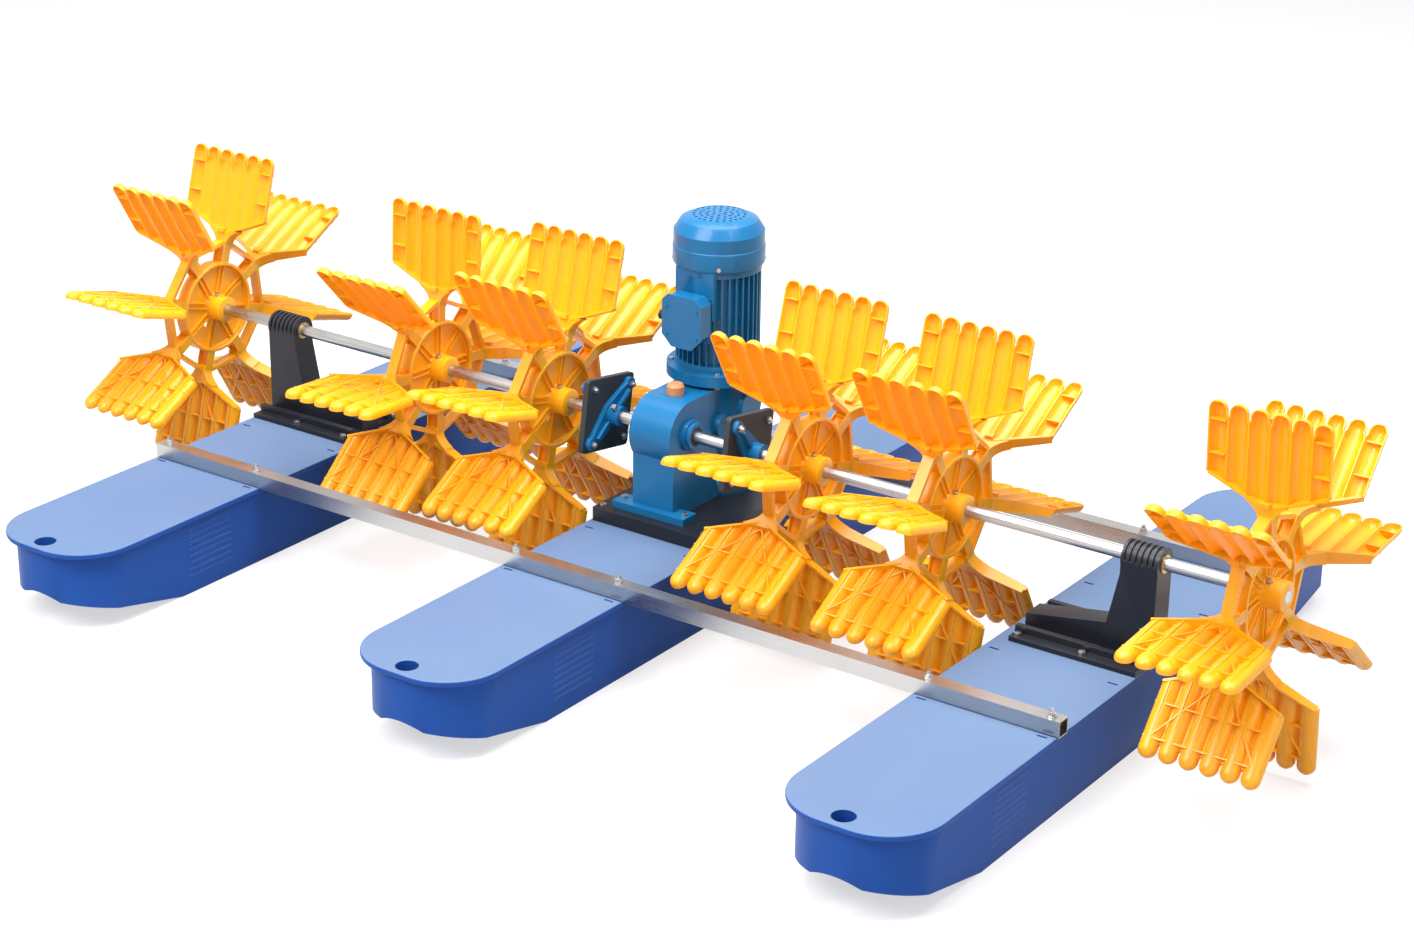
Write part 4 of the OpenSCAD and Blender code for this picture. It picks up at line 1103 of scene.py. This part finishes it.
    def lean(self, shape: bmesh.types.BMesh, verts: List[bmesh.types.BMVert], start: Vector,
             end: Vector) -> None:
        """Turn an upright bar that starts at the centre so that it runs between two points.

        Args:
            shape: The mesh.
            verts: The bar's vertices.
            start: Where it starts.
            end: Where it ends.
        """
        run = end - start
        turned = Matrix.Rotation(math.atan2(run.x, run.z), 3, "Y")
        bmesh.ops.rotate(shape, verts=verts, cent=(0, 0, 0), matrix=turned)
        bmesh.ops.translate(shape, verts=verts, vec=start)

    def vane_ribs(self, shape: bmesh.types.BMesh) -> None:
        """Make the thin ribs on the vane's back and the ledges in its outer troughs.

        Args:
            shape: The mesh to add to.
        """
        half, foot = self.rib / 2, self.crest - self.rib_sink
        for i in range(self.fingers):
            x = self.finger_place(i)
            rib = self.bar(shape, (x - half, foot, self.lower_edge(x) + self.rib),
                           (x + half, self.crest + self.rib_rise, self.radius - self.rib_end))
            self.lower_crest(rib, self.rib_slope)
        for i in range(self.fingers - 1):
            for drop in self.web_rows:
                self.web(shape, self.finger_place(i) + self.pitch / 2, self.root - drop)
        wide = self.finger_r - self.free_rim
        for s in (-1, 1):
            x = s * self.finger_place(self.fingers - 1)
            start = Vector((0, 0, self.neck + self.brace_inset))
            end = Vector((x, 0, self.root - self.brace_inset))
            back, length = self.crest + self.brace_rise, (end - start).length
            brace = self.bar(shape, (-half, foot, 0), (half, back, length))
            self.lean(shape, brace, start, end)
            for drop in self.ledges:
                z = self.radius - drop
                self.bar(shape, (x - wide, self.open_side + self.ledge_inset, z - half),
                         (x + wide, self.open_side + self.knob, z + half))

    def web(self, shape: bmesh.types.BMesh, x: float, z: float) -> None:
        """Make a small web that closes the valley between two fingers behind the vane.

        Args:
            shape: The mesh to add to.
            x: Middle of the valley across the vane.
            z: Its radius.
        """
        foot, half = self.open_side + self.valley - self.web_sink, self.rib / 2
        top = self.crest + self.brace_rise
        verts = self.bar(shape, (-self.web_wide, foot, z - half), (self.web_wide, top, z + half))
        for v in verts:
            at_foot = v.co.y < (foot + top) / 2
            v.co.x = x + v.co.x * (self.web_narrow / self.web_wide if at_foot else 1.0)

    def vane_walls(self, shape: bmesh.types.BMesh) -> None:
        """Make the deep walls along the vane's oblique lower edges.

        Args:
            shape: The mesh to add to.
        """
        front, back = self.open_side - self.wall_front, self.open_side + self.wall_depth
        inset, drop = self.wall_end
        for s in (-1, 1):
            start = Vector((s * (self.neck_half - self.wall_start), 0, self.neck))
            end = Vector((s * (self.width / 2 - inset), 0, self.side_start - drop))
            length = (end - start).length
            wall = self.bar(shape, (-self.wall_half, front, 0), (self.wall_half, back, length))
            self.lower_crest(wall, self.wall_slope)
            self.lean(shape, wall, start, end)

    def arm(self, shape: bmesh.types.BMesh) -> None:
        """Make the arm that carries the vane, with its neck, its hook, two spokes and a strut.

        Args:
            shape: The mesh to add to.
        """
        half = self.rib / 2
        self.bar(shape, (-self.arm_half, -self.arm_plate, self.arm_foot),
                 (self.arm_half, self.arm_plate, self.neck))
        low, high = self.flange_span
        for x in (-self.flange_place, self.flange_place):
            self.bar(shape, (x - half, -self.flange_half, low), (x + half, self.flange_half, high))
        self.flared_neck(shape)
        (front, back), (low, high) = self.hook_depth, self.hook_span
        self.bar(shape, (-self.hook_half, self.open_side + front, self.neck + low),
                 (self.hook_half, self.open_side + back, self.neck + high))
        low, high = self.spoke_span
        for y in (-self.spoke_place, self.spoke_place):
            self.bar(shape, (-self.spoke_half, y - half, low), (self.spoke_half, y + half, high))
        low, high = self.strut_span
        strut = self.bar(shape, (-self.strut_half, -self.strut_reach, low),
                         (self.strut_half, self.strut_reach, high))
        between = Matrix.Rotation(math.pi / self.vanes, 3, "X")
        bmesh.ops.rotate(shape, verts=strut, cent=(0, 0, 0), matrix=between)

    def flared_neck(self, shape: bmesh.types.BMesh) -> None:
        """Make the neck that widens from the arm into the oblique walls.

        Args:
            shape: The mesh to add to.
        """
        start = self.neck - self.flare_drop
        old = set(shape.faces)
        grid = bmesh.ops.create_grid(shape, x_segments=4, y_segments=8, size=1.0)["verts"]
        for v in grid:
            t = (v.co.y + 1) / 2
            wide = self.arm_half + self.flare * t ** self.flare_power
            v.co = (v.co.x * wide, self.open_side, start + self.flare_rise * t)
        faces = [f for f in shape.faces if f not in old]
        made = bmesh.ops.extrude_face_region(shape, geom=faces, use_keep_orig=True)["geom"]
        verts = [v for v in made if isinstance(v, bmesh.types.BMVert)]
        bmesh.ops.translate(shape, verts=verts, vec=(0, self.wall_depth - self.flare_inset, 0))
        bmesh.ops.recalc_face_normals(shape, faces=[f for f in shape.faces if f not in old])

    def hub(self, shape: bmesh.types.BMesh) -> None:
        """Turn the hub, the web and the rim ring from one profile, and pierce the web.

        Args:
            shape: The mesh to add to.
        """
        old = set(shape.faces)
        end, web = self.boss / MM, self.web_half / MM
        hole = [(web, (self.hole_reach + k * self.hole_radius) / MM) for k in (-1, 0, 1)]
        boss = [(end - back, r) for back, r in self.boss_end]
        half = [*boss, *self.hub_foot, *hole, (web, self.rim_start / MM), *self.rim_ring]
        outline = half + [(-x, r) for x, r in reversed(half)]
        verts = [shape.verts.new((x * MM, 0, r * MM)) for x, r in outline]
        edges = [shape.edges.new((verts[i - 1], verts[i])) for i in range(len(verts))]
        bmesh.ops.spin(shape, geom=verts + edges, cent=(0, 0, 0), axis=(1, 0, 0), angle=2 * math.pi,
                       steps=self.steps, use_merge=True)
        turned = [f for f in shape.faces if f not in old]
        bmesh.ops.recalc_face_normals(shape, faces=turned)
        self.pierce(shape, turned)

    def pierce(self, shape: bmesh.types.BMesh, web: Sequence[bmesh.types.BMFace]) -> None:
        """Open the round hole in the web, between the first two spokes.

        Args:
            shape: The mesh.
            web: Faces of the turned part.
        """
        turn = math.pi / self.vanes
        centre = Vector((0, -math.sin(turn), math.cos(turn))) * self.hole_reach
        near = [f for f in web if abs(f.calc_center_median().x) < 1.5 * self.web_half
                and (f.calc_center_median() - centre).yz.length < 1.05 * self.hole_radius]
        verts = {v for f in near for v in f.verts}
        bmesh.ops.delete(shape, geom=near, context="FACES")
        rim = [v for v in verts if v.is_valid]
        for v in rim:
            out = Vector((0, v.co.y - centre.y, v.co.z - centre.z)).normalized() * self.hole_radius
            v.co = Vector((v.co.x, centre.y + out.y, centre.z + out.z))
        edges = list({e for v in rim for e in v.link_edges if e.is_boundary})
        bmesh.ops.bridge_loops(shape, edges=edges)


def main() -> None:
    """Build the scene in order."""
    logging.basicConfig(level=logging.INFO)
    Photo().build()
    Studio().build()
    shop = Workshop()
    for assembly in (Floats(), Carriage(), GearMotor(), GearTrain(), ShaftLine(), PaddleWheels()):
        assembly.build(shop)


if __name__ == "__main__":
    main()
